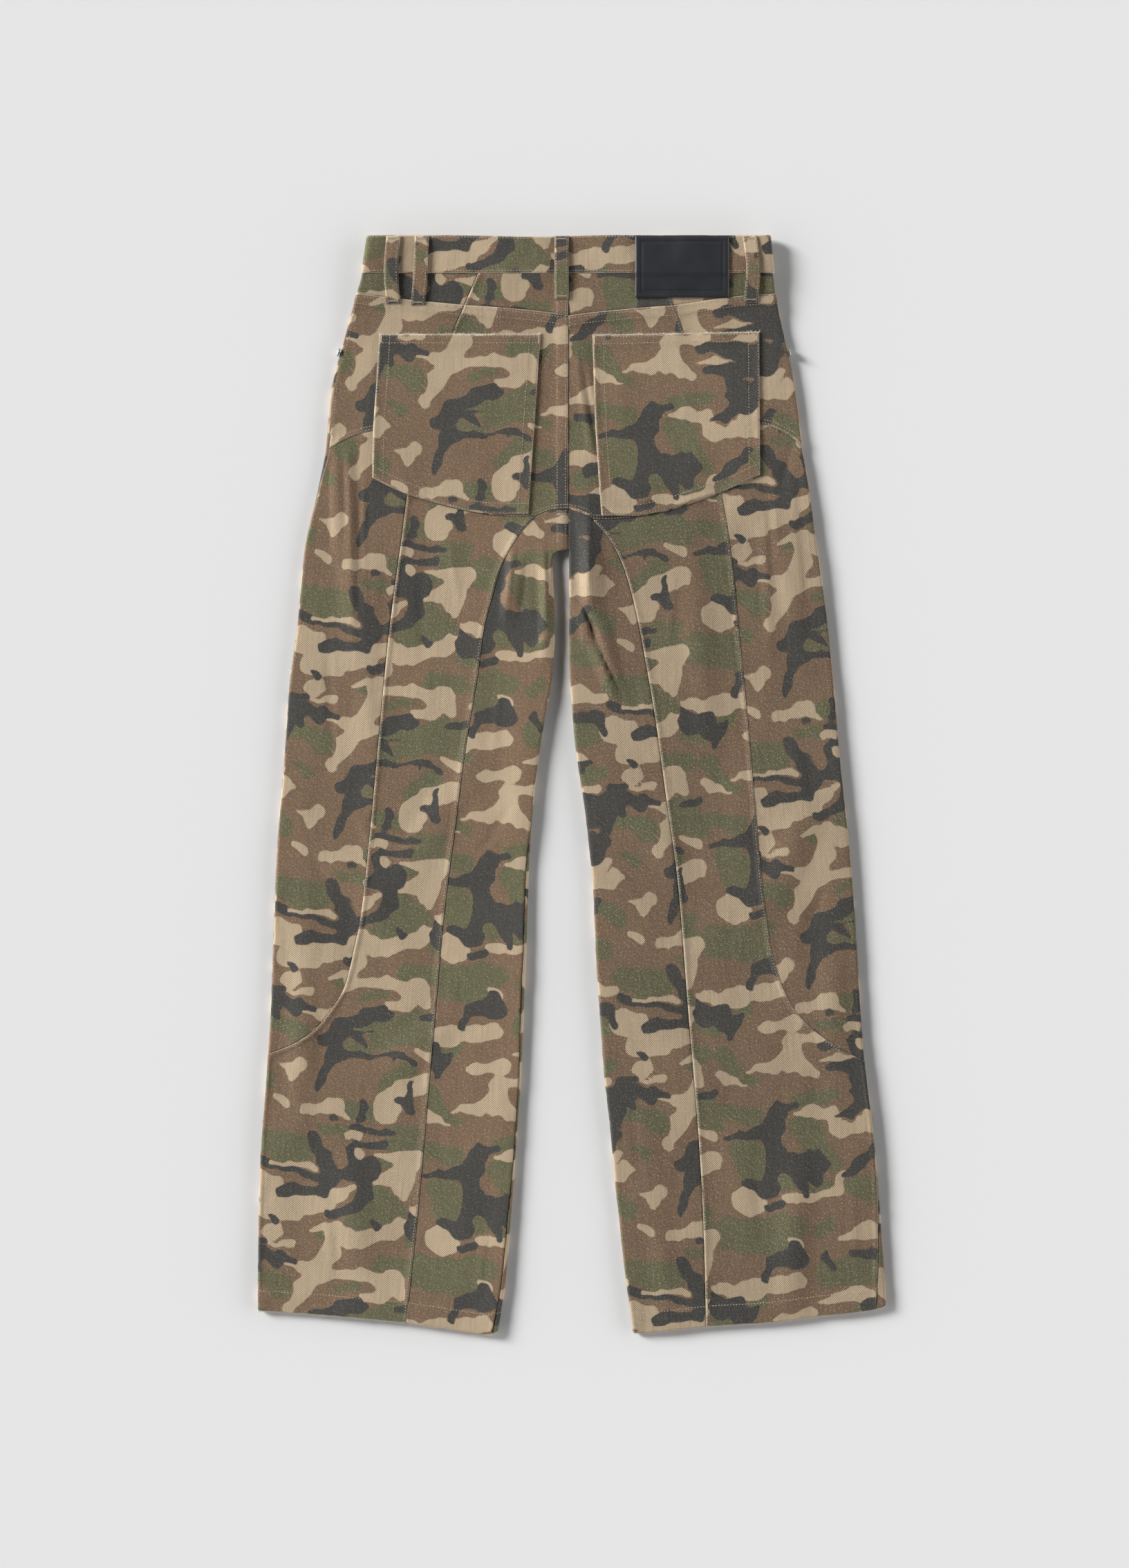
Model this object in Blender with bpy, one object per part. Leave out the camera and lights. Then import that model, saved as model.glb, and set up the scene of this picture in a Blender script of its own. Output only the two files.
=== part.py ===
import math

import bmesh
import bpy
import numpy as np
from mathutils import Matrix

# Baggy jeans laid flat on their front, with the back side up.
# Lengths are in millimetres until a mesh is made. "out" is the distance from the garment's middle line, positive
# towards that leg's own side, and "down" is the distance below the waistband's top edge. +Y points to the waist.

MM = 0.001
COLLECTION_NAME = "baggy_jeans"

# Cloth and the flattened tube
TOP_EDGE_Y = 540.6
WALL = 1.8
LOFT = 7.0
EDGE_RADIUS = LOFT / 2
SEAM_GAP = 0.3
LIE_GAP = 0.5
HEM_HEIGHT = 21.0
HEM_EXTRA = 0.9
CROTCH_DOWN = 308.7

# The waist end is held up by the button and the front belt loops that it lies on.
REST_LIFT = 4.3
LIFT_ENDS_DOWN = 90.0
LIFT_ROW_DOWN = 94.0

# Waistband and what lies on it
BAND_HEIGHT = 37.4
BAND_WALL = 3.0
BAND_PROUD = 0.8
BAND_STEP = 4.5
PATCH_OUT = (62.1, 154.2)
PATCH_DOWN = (0.8, 61.2)
PATCH_WALL = 1.8
LOOP_WIDTH = 13.8
LOOP_WALL = 1.9
LOOP_BOW = 1.6
FRONT_LOOP_BOW = 0.4
POCKET_WALL = 1.8
BUTTON_RADIUS = 8.5
BUTTON_THICKNESS = 2.4
BUTTON_FROM_CENTRE = -12.0
RIVET_RADIUS = 4.4
RIVET_THICKNESS = 1.6
RIVET_DOWN = 114.0
SHIELD_WIDTH = 40.0
SHIELD_DOWN = (40.5, 195.0)
SHIELD_WALL = 1.0

# How many quads each stretch of seam is cut into
DIAGONAL_ROWS = 4
DIAGONAL_FIRST_SHARE = 0.23
HIP_ROWS = 2
PRINCESS_ROWS = 14
LOW_ROWS = 7
CENTRE_LOW_ROWS = 2
YOKE_ROWS = 2

# Shares of a panel's width at which its columns lie, from the outer side to the inner side.
# They crowd where the cloth rolls round a side edge.
SIDE_COLUMNS = np.array([0, 0.028, 0.06, 0.2, 0.4, 0.6, 0.8, 1])
MID_COLUMNS = np.array([0, 0.018, 0.037, 0.12, 0.24, 0.36, 0.48, 0.61, 0.74, 0.87, 1])
INNER_COLUMNS = np.array([0, 0.16, 0.32, 0.48, 0.64, 0.78, 0.88, 0.94, 0.97, 1])
FRONT_COLUMNS = np.array([0, 0.012, 0.024, 0.04, 0.065, 0.17, 0.3, 0.43, 0.56, 0.69, 0.82, 0.96, 0.976, 0.988, 1])
FACING_COLUMNS = np.array([0, 0.035, 0.07, 0.35, 1])
RIM_LEAN = 0.37
POCKET_COLUMNS = 8
POCKET_ROWS = 7
LOOP_ROWS = 8


def table(columns, *rows):
    return dict(zip(columns.split(), np.array(rows, float).T))


# One table for each seam or edge. "strip" is how much of the front's cloth shows inside the edge.
LEFT = {
    "outer": table(
        "down out strip",
        (0, 201, 0.5), (37.4, 207, 0.5), (57, 212.5, 0.5), (96, 223.5, 2.5), (129, 232.5, 3.4),
        (157, 238.5, 3.7), (209, 243, 4.4), (243, 249, 2.0), (308, 263.5, 0.5), (385, 271, 0.5),
        (447, 279, 0.5), (520, 284, 0.5), (600, 290.5, 0.5), (680, 294, 0.5), (760, 297, 0.5),
        (820, 300.5, 0.5), (909, 307, 0.5), (1000, 309.3, 0.5), (1060, 309.6, 0.5)),
    "inner": table(
        "down out strip",
        (CROTCH_DOWN, 3.6, 0.5), (311, 10, 0.5), (316, 16, 0.5), (325, 18, 0.5), (348, 17.2, 0.5), (383, 15.8, 0.5),
        (435, 18.5, 0.5), (466, 24, 0.5), (515, 32, 0.5), (565, 37.6, 1.2), (628, 41.7, 4.2),
        (690, 43.5, 4.5), (752, 46, 4.4), (825, 49.1, 3.4), (897, 53.9, 3.2), (970, 59.3, 4.6),
        (1034, 65, 5.5), (1080, 72.9, 6)),
    "princess": table(
        "down out",
        (255.7, 162.2), (293, 166.8), (333, 172.5), (405, 181.5), (502, 190.6), (586, 198.5), (669, 207.6),
        (714.7, 217.1)),
    "knee": table("out down", (217.1, 714.7), (224, 739.8), (236.8, 761), (253.1, 781), (276.3, 796), (298, 804.4)),
    "diagonal_top": table("out down", (92, 37.4), (105.6, 68.3)),
    "diagonal": table("out down", (105.6, 68.3), (115.8, 92.5), (140.9, 180.2)),
    "diagonal_low": table("out down", (140.9, 180.2), (162.2, 255.7)),
    "saddle_top": table("out down", (36.2, 276), (17.2, 269.5), (3.6, 268.6)),
    "saddle": table(
        "down out",
        (276, 36.2), (291, 49.8), (310, 62), (329, 70.9), (357, 79), (386, 86.5), (435, 93.3), (502, 104.5),
        (586, 115.5), (669, 126), (769, 134.8), (861, 143), (952, 150.8), (1069.6, 163.4)),
    "seat_bottom": table("out down", (162.2, 255.7), (125.3, 265.8), (97.4, 271.8), (75, 275), (52.5, 276.6),
                         (36.2, 276)),
    "hip": table("out down", (238.6, 209), (223.2, 200.6), (211, 195.2), (195.3, 191.6), (140.9, 180.2)),
    "yoke_outer": table("out down", (212, 57), (145, 64.6), (110.3, 67.9), (105.6, 68.3)),
    "yoke_inner": table("out down", (105.6, 68.3), (68.9, 70.8), (6.3, 77.8), (3.6, 78.9)),
    "hem": table("out down", (72.3, 1078.5), (83.8, 1080.8), (109, 1077.5), (163.4, 1069.6), (241.6, 1062.2),
                 (309.6, 1057.4)),
    "pocket_top": table("out down", (189.3, 96.8), (30.8, 96.8)),
    "pocket_outer": table("out down", (189.3, 96.8), (192.6, 149.6), (195.3, 191.1), (196.3, 238.3)),
    "pocket_inner": table("out down", (30.8, 96.8), (43, 273.8)),
    "pocket_bottom": table("out down", (196.3, 238.3), (163.6, 253.6), (125.3, 264.9), (97.4, 271.3), (75, 273.6),
                           (43, 273.8)),
    "centre_out": 3.6,
    "sign": -1,
}
RIGHT = {
    "outer": table(
        "down out strip",
        (0, 195, 0.5), (37.4, 198.5, 0.5), (57, 201, 0.5), (96, 209, 0.5), (129, 216.5, 0.5), (169, 222.8, 0.5),
        (207, 227, 0.5), (243, 233, 0.5), (311, 242.6, 0.5), (380, 252, 0.5), (450, 259, 0.5), (520, 265, 0.5),
        (600, 273.7, 0.5), (680, 280, 0.5), (742, 283.5, 0.5), (811, 288.5, 0.5), (879, 297, 1.0),
        (931, 301.5, 1.6), (983, 305.8, 4.8), (1024, 308.6, 8.4), (1060, 309.6, 11)),
    "inner": table(
        "down out strip",
        (CROTCH_DOWN, -3.6, 0.5), (366, -3.6, 0.5), (417, -3.5, 0.5), (470, -0.4, 0.5), (507, 3.2, 0.5),
        (554, 10.3, 0.5), (596, 15.5, 0.5), (648, 20.2, 0.5), (711, 23, 0.5), (763, 26.4, 0.5), (825, 30.8, 0.5),
        (872, 36.2, 0.5), (930, 41.3, 0.5), (977, 46.6, 0.5), (1016, 50.8, 0.5), (1080, 60, 0.5)),
    "princess": table(
        "down out",
        (253.6, 146.7), (288, 153), (335, 159), (392, 164.6), (479, 173.2), (554, 179.6), (607, 184.1),
        (659, 189.6), (700, 195.7), (737.8, 206.6)),
    "knee": table("out down", (206.6, 737.8), (216.8, 758), (233, 777), (258, 796), (288.6, 812.6)),
    "diagonal_top": table("out down", (88.9, 37.4), (99.8, 68.7)),
    "diagonal": table("out down", (99.8, 68.7), (109.7, 95.5), (128.3, 176)),
    "diagonal_low": table("out down", (128.3, 176), (146.7, 253.6)),
    "saddle_top": table("out down", (20.9, 279.5), (10.5, 272.6), (-3.6, 268.6)),
    "saddle": table(
        "down out",
        (279.5, 20.9), (298, 36.9), (320, 48.6), (343, 56.3), (376, 64.4), (423, 73.3), (475, 82.1), (544, 91.6),
        (638, 104.4), (690, 108.9), (752, 113.6), (822, 119.5), (872, 123.6), (949, 128.4), (1025, 131),
        (1073, 131.8)),
    "seat_bottom": table("out down", (146.7, 253.6), (125, 261), (83.5, 273.3), (60.4, 277.3), (35.9, 279.5),
                         (20.9, 279.5)),
    "hip": table("out down", (226.3, 207), (216.8, 198.2), (206.6, 192.4), (195, 187), (184.8, 185), (128.3, 176)),
    "yoke_outer": table("out down", (200.5, 57), (168.5, 59.2), (102.5, 68.3), (99.8, 68.7)),
    "yoke_inner": table("out down", (99.8, 68.7), (61.7, 71.4), (0, 78), (-3.6, 78.9)),
    "hem": table("out down", (59.6, 1079.8), (84.2, 1078.5), (131.8, 1073), (188.9, 1069.6), (239.9, 1063.5),
                 (292.2, 1057.4), (309.6, 1053.3)),
    "pocket_top": table("out down", (184.1, 94.8), (20.2, 97.8)),
    "pocket_outer": table("out down", (184.1, 94.8), (184.8, 235.3)),
    "pocket_inner": table("out down", (20.2, 97.8), (22.7, 179.5), (25.9, 231.9), (29.1, 275.4)),
    "pocket_bottom": table("out down", (184.8, 235.3), (149.4, 250.9), (124.9, 259.1), (83.5, 271.7),
                           (60.4, 275.4), (29.1, 275.4)),
    "centre_out": -3.6,
    "sign": 1,
}
SIDES = {"left": LEFT, "right": RIGHT}

# The mouth of a front pocket, from the waistband to the rivet on the side seam
MOUTH_UPPER = table("out down", (112, BAND_HEIGHT), (114.5, 62), (128, 88))
MOUTH_LOWER = table("out down", (128, 88), (165, 105.5))

# The largest folds: each is a soft ridge (or a trough, below 0) between two places.
FOLDS = table(
    "x0 down0 x1 down1 width height",
    (18, 291, 20, 372, 13, 4.5),
    (22, 360, 44, 450, 12, 4.0),
    (-52, 318, -63, 378, 13, 2.6),
    (-24, 330, -27, 420, 9, 2.4),
    (-226, 205, -214, 430, 15, 2.0),
    (-196, 300, -206, 520, 16, 1.4),
    (-100, 520, -170, 640, 24, 1.8),
    (-230, 610, -150, 720, 26, 2.0),
    (-262, 640, -268, 900, 20, 1.8),
    (-110, 760, -190, 830, 26, 1.6),
    (-222, 880, -206, 1040, 24, 1.8),
    (-96, 900, -104, 1040, 20, 1.4),
    (205, 250, 226, 430, 16, 1.8),
    (118, 330, 140, 520, 20, 1.6),
    (60, 560, 130, 660, 24, 1.8),
    (240, 560, 180, 680, 24, 2.0),
    (252, 660, 262, 880, 20, 1.8),
    (70, 760, 150, 850, 26, 1.8),
    (226, 900, 214, 1040, 24, 2.0),
    (86, 920, 92, 1050, 18, 1.4),
)

# Where each belt loop of the back lies: its middle line's x at the top, middle and bottom, and its lower end
LOOPS = {
    "belt_loop_left_outer": table("x_top x_mid x_end end_down", (-175.3, -177.7, -175.6, 67.3)),
    "belt_loop_left_inner": table("x_top x_mid x_end end_down", (-147.4, -148.6, -151.5, 68.7)),
    "belt_loop_centre": table("x_top x_mid x_end end_down", (-10.0, -10.2, -9.8, 62.6)),
    "belt_loop_right": table("x_top x_mid x_end end_down", (174.4, 178.0, 176.0, 66.0)),
}
FRONT_LOOPS = {
    "belt_loop_front_left": table("x_top x_mid x_end end_down", (-100.0, -100.0, -100.0, 56.0)),
    "belt_loop_front_right": table("x_top x_mid x_end end_down", (96.0, 96.0, 96.0, 56.0)),
}

# Colours are linear values of the washed print as a whole, and of the trims.
CAMO_TAN = (0.42, 0.31, 0.20)
CAMO_BROWN = (0.20, 0.13, 0.085)
CAMO_GREEN = (0.15, 0.15, 0.075)
CAMO_CHARCOAL = (0.06, 0.06, 0.058)
PATCH_BLACK = (0.022, 0.024, 0.03)
BUTTON_METAL = (0.33, 0.28, 0.20)
RIVET_METAL = (0.55, 0.56, 0.55)


def curve(knots, values, at):
    """Smooth curve through the knots that never overshoots them."""
    step = np.diff(knots)
    slope = np.diff(values) / step
    tangent = np.zeros_like(values)
    before = slope[:-1]
    after = slope[1:]
    turning = before * after <= 0
    total = np.where(turning, 1.0, before + after)
    tangent[1:-1] = np.where(turning, 0.0, 2 * before * after / total)
    tangent[0] = slope[0]
    tangent[-1] = slope[-1]
    at = np.clip(at, knots[0], knots[-1])
    i = np.clip(np.searchsorted(knots, at) - 1, 0, len(step) - 1)
    t = (at - knots[i]) / step[i]
    lead = (1 + 2 * t) * (1 - t) ** 2 * values[i] + t * t * (3 - 2 * t) * values[i + 1]
    bend = t * (1 - t) ** 2 * tangent[i] - t * t * (1 - t) * tangent[i + 1]
    return lead + bend * step[i]


def along(seam, shares):
    """Points (out, down) at the given shares of the length of a smooth curve through a seam's table."""
    out = seam["out"]
    down = seam["down"]
    length = np.concatenate([[0], np.cumsum(np.hypot(np.diff(out), np.diff(down)))])
    at = np.asarray(shares) * length[-1]
    return np.stack([curve(length, out, at), curve(length, down, at)], axis=1)


def at_down(seam, down):
    """Points (out, down) of a seam that runs down the leg."""
    return np.stack([curve(seam["down"], seam["out"], down), down], axis=1)


def evenly(rows):
    return np.linspace(0, 1, rows + 1)


def join(*stretches):
    """One polyline from stretches that share their end points."""
    return np.concatenate([stretches[0]] + [stretch[1:] for stretch in stretches[1:]])


# ---- the flattened tube ----
# "around" is measured along the cloth. On the flat of a layer it equals "out", and past a side edge it goes on round
# the roll and over on to the other layer.

def outer_edge(side, down):
    return curve(side["outer"]["down"], side["outer"]["out"], down)


def inner_edge(side, down):
    edge = curve(side["inner"]["down"], side["inner"]["out"], down)
    return np.where(down < CROTCH_DOWN, -1e6, edge)


def roll(side, around, down, depth):
    """Out and height above the layer's own face of a point at some depth in the cloth, round both side edges."""
    outer = outer_edge(side, down) - EDGE_RADIUS
    inner = inner_edge(side, down) + EDGE_RADIUS
    half_turn = math.pi * EDGE_RADIUS
    past_outer = around - outer
    past_inner = inner - around
    turn_outer = np.clip(past_outer / EDGE_RADIUS, 0, math.pi)
    turn_inner = np.clip(past_inner / EDGE_RADIUS, 0, math.pi)
    radius = EDGE_RADIUS - depth
    out = np.clip(around, inner, outer) + radius * (np.sin(turn_outer) - np.sin(turn_inner))
    out = out - np.clip(past_outer - half_turn, 0, None) + np.clip(past_inner - half_turn, 0, None)
    turned = np.cos(turn_outer) * np.cos(turn_inner)
    return out, EDGE_RADIUS - radius * turned, EDGE_RADIUS * (1 - turned)


def rest_lift(down):
    return REST_LIFT * np.clip((LIFT_ENDS_DOWN - down) / (LIFT_ENDS_DOWN - BAND_HEIGHT), 0, 1)


def relief(x, down):
    """Height that the folds add to the back: a smooth bump across each fold's line, lower towards its ends."""
    height = np.zeros(np.shape(x))
    for x0, down0, x1, down1, width, top in zip(*FOLDS.values()):
        run = np.hypot(x1 - x0, down1 - down0)
        share = ((x - x0) * (x1 - x0) + (down - down0) * (down1 - down0)) / run ** 2
        share = np.clip(share, 0, 1)
        away = np.hypot(x - x0 - share * (x1 - x0), down - down0 - share * (down1 - down0)) / width
        height += top * (0.3 + 0.7 * np.sin(math.pi * share)) * np.clip(1 - away ** 2, 0, None) ** 2
    return height


def place(side, layer, around, down, depth):
    """World position, in metres, of a point of the cloth on the back or the front layer."""
    out, height, face_height = roll(side, around, down, depth)
    x = side["sign"] * out
    back_share = 1 - face_height / LOFT
    if layer == "front":
        back_share = face_height / LOFT
        z = height
    else:
        z = LOFT - height
    z = z + rest_lift(down) + relief(x, down) * back_share
    return np.stack([x, TOP_EDGE_Y - down, z], axis=-1) * MM


def side_seam(side, down, layer):
    """Where the side seam lies, measured round the cloth of a layer."""
    edge = outer_edge(side, down)
    strip = curve(side["outer"]["down"], side["outer"]["strip"], down)
    rolled = edge - EDGE_RADIUS + EDGE_RADIUS * np.arcsin(np.clip(1 - strip / EDGE_RADIUS, 0, 1))
    around = np.where(strip < EDGE_RADIUS, rolled, edge - strip)
    if layer == "front":
        around = 2 * (edge - EDGE_RADIUS) + math.pi * EDGE_RADIUS - around
    return np.stack([around, down], axis=1)


def inseam(side, down, layer):
    """Where the inseam lies, measured round the cloth of a layer."""
    edge = inner_edge(side, down)
    strip = curve(side["inner"]["down"], side["inner"]["strip"], down)
    rolled = edge + EDGE_RADIUS - EDGE_RADIUS * np.arcsin(np.clip(1 - strip / EDGE_RADIUS, 0, 1))
    around = np.where(strip < EDGE_RADIUS, rolled, edge + strip)
    if layer == "front":
        around = 2 * (edge + EDGE_RADIUS) - math.pi * EDGE_RADIUS - around
    return np.stack([around, down], axis=1)


def hem_line(side, start, end, shares):
    """The hem between two points measured round the cloth."""
    around = start[0] + (end[0] - start[0]) * np.asarray(shares)
    down = np.linspace(start[1], end[1], len(around))
    out = roll(side, around, down, 0.0)[0]
    return np.stack([around, hem_depth(side, out)], axis=1)


def hem_depth(side, out):
    order = np.argsort(side["hem"]["out"])
    return curve(side["hem"]["out"][order], side["hem"]["down"][order], out)


def hem_end(side, edge, inward):
    """How far down a side edge's seam meets the hem."""
    seam = side[edge]
    down = side["hem"]["down"].max()
    for _ in range(6):
        out = curve(seam["down"], seam["out"], down) + inward * curve(seam["down"], seam["strip"], down)
        down = hem_depth(side, out)
    return float(down)


# ---- meshes ----

def inset(loop, distance):
    """A closed outline moved inwards by the same distance along each of its edges."""
    ahead = np.roll(loop, -1, axis=0) - loop
    ahead = ahead / np.linalg.norm(ahead, axis=1)[:, None]
    behind = np.roll(ahead, 1, axis=0)
    following = np.roll(loop, -1, axis=0)
    area = np.sum(loop[:, 0] * following[:, 1] - following[:, 0] * loop[:, 1])
    turn = np.sign(area)
    normal = turn * (np.stack([-ahead[:, 1], ahead[:, 0]], axis=1) + np.stack([-behind[:, 1], behind[:, 0]], axis=1))
    facing = np.sum(normal * turn * np.stack([-ahead[:, 1], ahead[:, 0]], axis=1), axis=1)
    return loop + normal * (distance / facing)[:, None]


def trimmed(top, bottom, outer, inner):
    """The four sides of a panel, drawn back from its seams by half the gap."""
    loop = np.concatenate([top[:-1], inner[:-1], bottom[::-1][:-1], outer[::-1][:-1]])
    loop = inset(loop, SEAM_GAP / 2)
    across = len(top) - 1
    rows = len(inner) - 1
    loop = np.concatenate([loop, loop[:1]])
    new_top = loop[:across + 1]
    new_inner = loop[across:across + rows + 1]
    new_bottom = loop[across + rows:2 * across + rows + 1][::-1]
    new_outer = loop[2 * across + rows:][::-1]
    return new_top, new_bottom, new_outer, new_inner


def filled(top, bottom, outer, inner, shares):
    """A Coons patch: the grid of points that blends four sides, rows by columns."""
    u = np.asarray(shares)[None, :, None]
    v = np.linspace(0, 1, len(outer))[:, None, None]
    between_rows = (1 - v) * top[None] + v * bottom[None]
    between_sides = (1 - u) * outer[:, None] + u * inner[:, None]
    corners = (1 - v) * ((1 - u) * top[0] + u * top[-1]) + v * ((1 - u) * bottom[0] + u * bottom[-1])
    return between_rows + between_sides - corners


def finish(name, mesh, colour, roughness, metallic, smooth_angle):
    parts = bpy.data.collections[COLLECTION_NAME]
    body = bmesh.new()
    body.from_mesh(mesh)
    bmesh.ops.recalc_face_normals(body, faces=body.faces)
    body.to_mesh(mesh)
    body.free()
    mesh.shade_smooth()
    mesh.set_sharp_from_angle(angle=math.radians(smooth_angle))
    material = bpy.data.materials.new(name)
    material.use_nodes = True
    shader = material.node_tree.nodes["Principled BSDF"]
    shader.inputs["Base Color"].default_value = (*colour, 1)
    shader.inputs["Roughness"].default_value = roughness
    shader.inputs["Metallic"].default_value = metallic
    mesh.materials.append(material)
    piece = bpy.data.objects.new(name, mesh)
    parts.objects.link(piece)
    return piece


def cloth(name, face, lining, colour, roughness=0.9):
    """A closed wall lofted between two grids of points, its face and its lining."""
    rows, columns = face.shape[:2]
    count = rows * columns
    number = np.arange(count).reshape(rows, columns)
    quads = np.stack([number[:-1, :-1], number[1:, :-1], number[1:, 1:], number[:-1, 1:]], axis=-1).reshape(-1, 4)
    rim = np.concatenate([number[0, :-1], number[:-1, -1], number[-1, :0:-1], number[:0:-1, 0]])
    ahead = np.roll(rim, -1)
    # Both panels at a seam split their rims along the same diagonal, so that twisted rims stay parallel.
    points = face.reshape(-1, 3)
    rank = points[:, 1] + RIM_LEAN * points[:, 0]
    first = np.where(rank[rim] > rank[ahead], rim, ahead)
    second = np.where(rank[rim] > rank[ahead], ahead, rim)
    rim_faces = np.concatenate([np.stack([first, second, second + count], axis=-1),
                                np.stack([first, second + count, first + count], axis=-1)])
    faces = quads.tolist() + (quads[:, ::-1] + count).tolist() + rim_faces.tolist()
    mesh = bpy.data.meshes.new(name)
    mesh.from_pydata(np.concatenate([points, lining.reshape(-1, 3)]).tolist(), [], faces)
    return finish(name, mesh, colour, roughness, 0.0, 60)


def panel(name, side, layer, sides, shares, colour):
    """A sewn panel: its four seams filled in flat, then laid on its layer of the garment."""
    grid = filled(*trimmed(*sides), shares)
    around = grid[..., 0]
    down = grid[..., 1]
    out = roll(side, around, down, 0.0)[0]
    above_hem = hem_depth(side, out) - down
    wall = WALL + HEM_EXTRA * (above_hem < HEM_HEIGHT)
    face = place(side, layer, around, down, 0.0)
    lining = place(side, layer, around, down, wall)
    return cloth(name, face, lining, colour)


def raised(x, down):
    """Height of the back's upper face, with the waistband's step."""
    step = BAND_PROUD * np.clip((BAND_HEIGHT + BAND_STEP - down) / BAND_STEP, 0, 1)
    return LOFT + rest_lift(down) + relief(x, down) + step


# ---- the pieces ----

def build_side(label, side):
    """The panels of one half, back and front, and its pockets."""
    knee_rows = len(SIDE_COLUMNS) - 1
    hip_down = side["hip"]["down"][0]
    knee_down = side["knee"]["down"][-1]
    yoke_down = side["yoke_outer"]["down"][0]
    hem_outer = hem_end(side, "outer", -1)
    hem_inner = hem_end(side, "inner", 1)

    # Rows of the long seams
    top_downs = np.linspace(BAND_HEIGHT, yoke_down, YOKE_ROWS + 1)
    seat_downs = np.array([yoke_down, LIFT_ROW_DOWN, RIVET_DOWN, (RIVET_DOWN + hip_down) / 2, hip_down])
    hip_downs = np.linspace(hip_down, knee_down, HIP_ROWS + PRINCESS_ROWS + 1)
    low_downs = np.linspace(knee_down, hem_outer, LOW_ROWS + 1)
    princess_downs = np.linspace(side["princess"]["down"][0], side["princess"]["down"][-1], PRINCESS_ROWS + 1)
    saddle_start = side["saddle"]["down"][0]
    saddle_end = hem_depth(side, side["saddle"]["out"][-1])
    knee_top = side["princess"]["down"][-1] + 10
    saddle_downs = join(np.linspace(saddle_start, knee_top, PRINCESS_ROWS + 1),
                        np.linspace(knee_top, knee_down + 12, knee_rows + 1),
                        np.linspace(knee_down + 12, saddle_end, LOW_ROWS + 1))
    ease = evenly(PRINCESS_ROWS - CENTRE_LOW_ROWS) ** 1.4
    inseam_downs = join(CROTCH_DOWN + (knee_top - CROTCH_DOWN) * ease,
                        np.linspace(knee_top, knee_down + 20, knee_rows + 1),
                        np.linspace(knee_down + 20, hem_inner, LOW_ROWS + 1))

    # Seams of the back
    centre = side["centre_out"]
    mid_share = side["seat_bottom"]["out"][0] - side["seat_bottom"]["out"][-1]
    inner_share = side["saddle_top"]["out"][0] - side["saddle_top"]["out"][-1]
    split = mid_share / (mid_share + inner_share)
    seat_columns = join(MID_COLUMNS * split, split + INNER_COLUMNS * (1 - split))
    diagonal_top = along(side["diagonal_top"], evenly(YOKE_ROWS))
    diagonal = along(side["diagonal"], np.append(0, np.linspace(DIAGONAL_FIRST_SHARE, 1, DIAGONAL_ROWS)))
    diagonal_low = along(side["diagonal_low"], evenly(HIP_ROWS))
    princess = at_down(side["princess"], princess_downs)
    knee = along(side["knee"], 1 - SIDE_COLUMNS)
    saddle = at_down(side["saddle"], saddle_downs)
    saddle_top = along(side["saddle_top"], INNER_COLUMNS)
    seat_bottom = along(side["seat_bottom"], MID_COLUMNS)
    centre_yoke = np.stack([np.full(YOKE_ROWS + 1, centre),
                            np.linspace(BAND_HEIGHT, side["yoke_inner"]["down"][-1], YOKE_ROWS + 1)], axis=1)
    seat_rows = DIAGONAL_ROWS + HIP_ROWS
    centre_downs = np.append(side["yoke_inner"]["down"][-1],
                             np.linspace(LIFT_ROW_DOWN, side["saddle_top"]["down"][-1], seat_rows))
    centre_seat = np.stack([np.full(seat_rows + 1, centre), centre_downs], axis=1)
    centre_low = np.stack([np.full(CENTRE_LOW_ROWS + 1, centre),
                           np.linspace(side["saddle_top"]["down"][-1], CROTCH_DOWN, CENTRE_LOW_ROWS + 1)], axis=1)
    outseam_top = side_seam(side, top_downs, "back")
    outseam_seat = side_seam(side, seat_downs, "back")
    outseam_side = side_seam(side, hip_downs, "back")
    outseam_low = side_seam(side, low_downs, "back")
    inner_seam = inseam(side, inseam_downs, "back")
    knee[0] = outseam_side[-1]
    yoke_outer_seam = along(side["yoke_outer"], SIDE_COLUMNS)
    yoke_outer_seam[0] = outseam_top[-1]
    hip = along(side["hip"], SIDE_COLUMNS)
    hip[0] = outseam_seat[-1]
    yoke_inner_seam = along(side["yoke_inner"], seat_columns)
    waist_outer = np.linspace(outseam_top[0], diagonal_top[0], 2)
    waist_outer = waist_outer[0] + (waist_outer[1] - waist_outer[0]) * SIDE_COLUMNS[:, None]
    waist_inner = diagonal_top[0] + (centre_yoke[0] - diagonal_top[0]) * seat_columns[:, None]
    hem_mid = hem_line(side, outseam_low[-1], saddle[-1], MID_COLUMNS)
    hem_inner_line = hem_line(side, saddle[-1], inner_seam[-1], INNER_COLUMNS)
    outseam_low[-1] = hem_mid[0]
    saddle[-1] = hem_mid[-1]
    inner_seam[-1] = hem_inner_line[-1]
    centre_and_inseam = join(centre_low, inner_seam)

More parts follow.
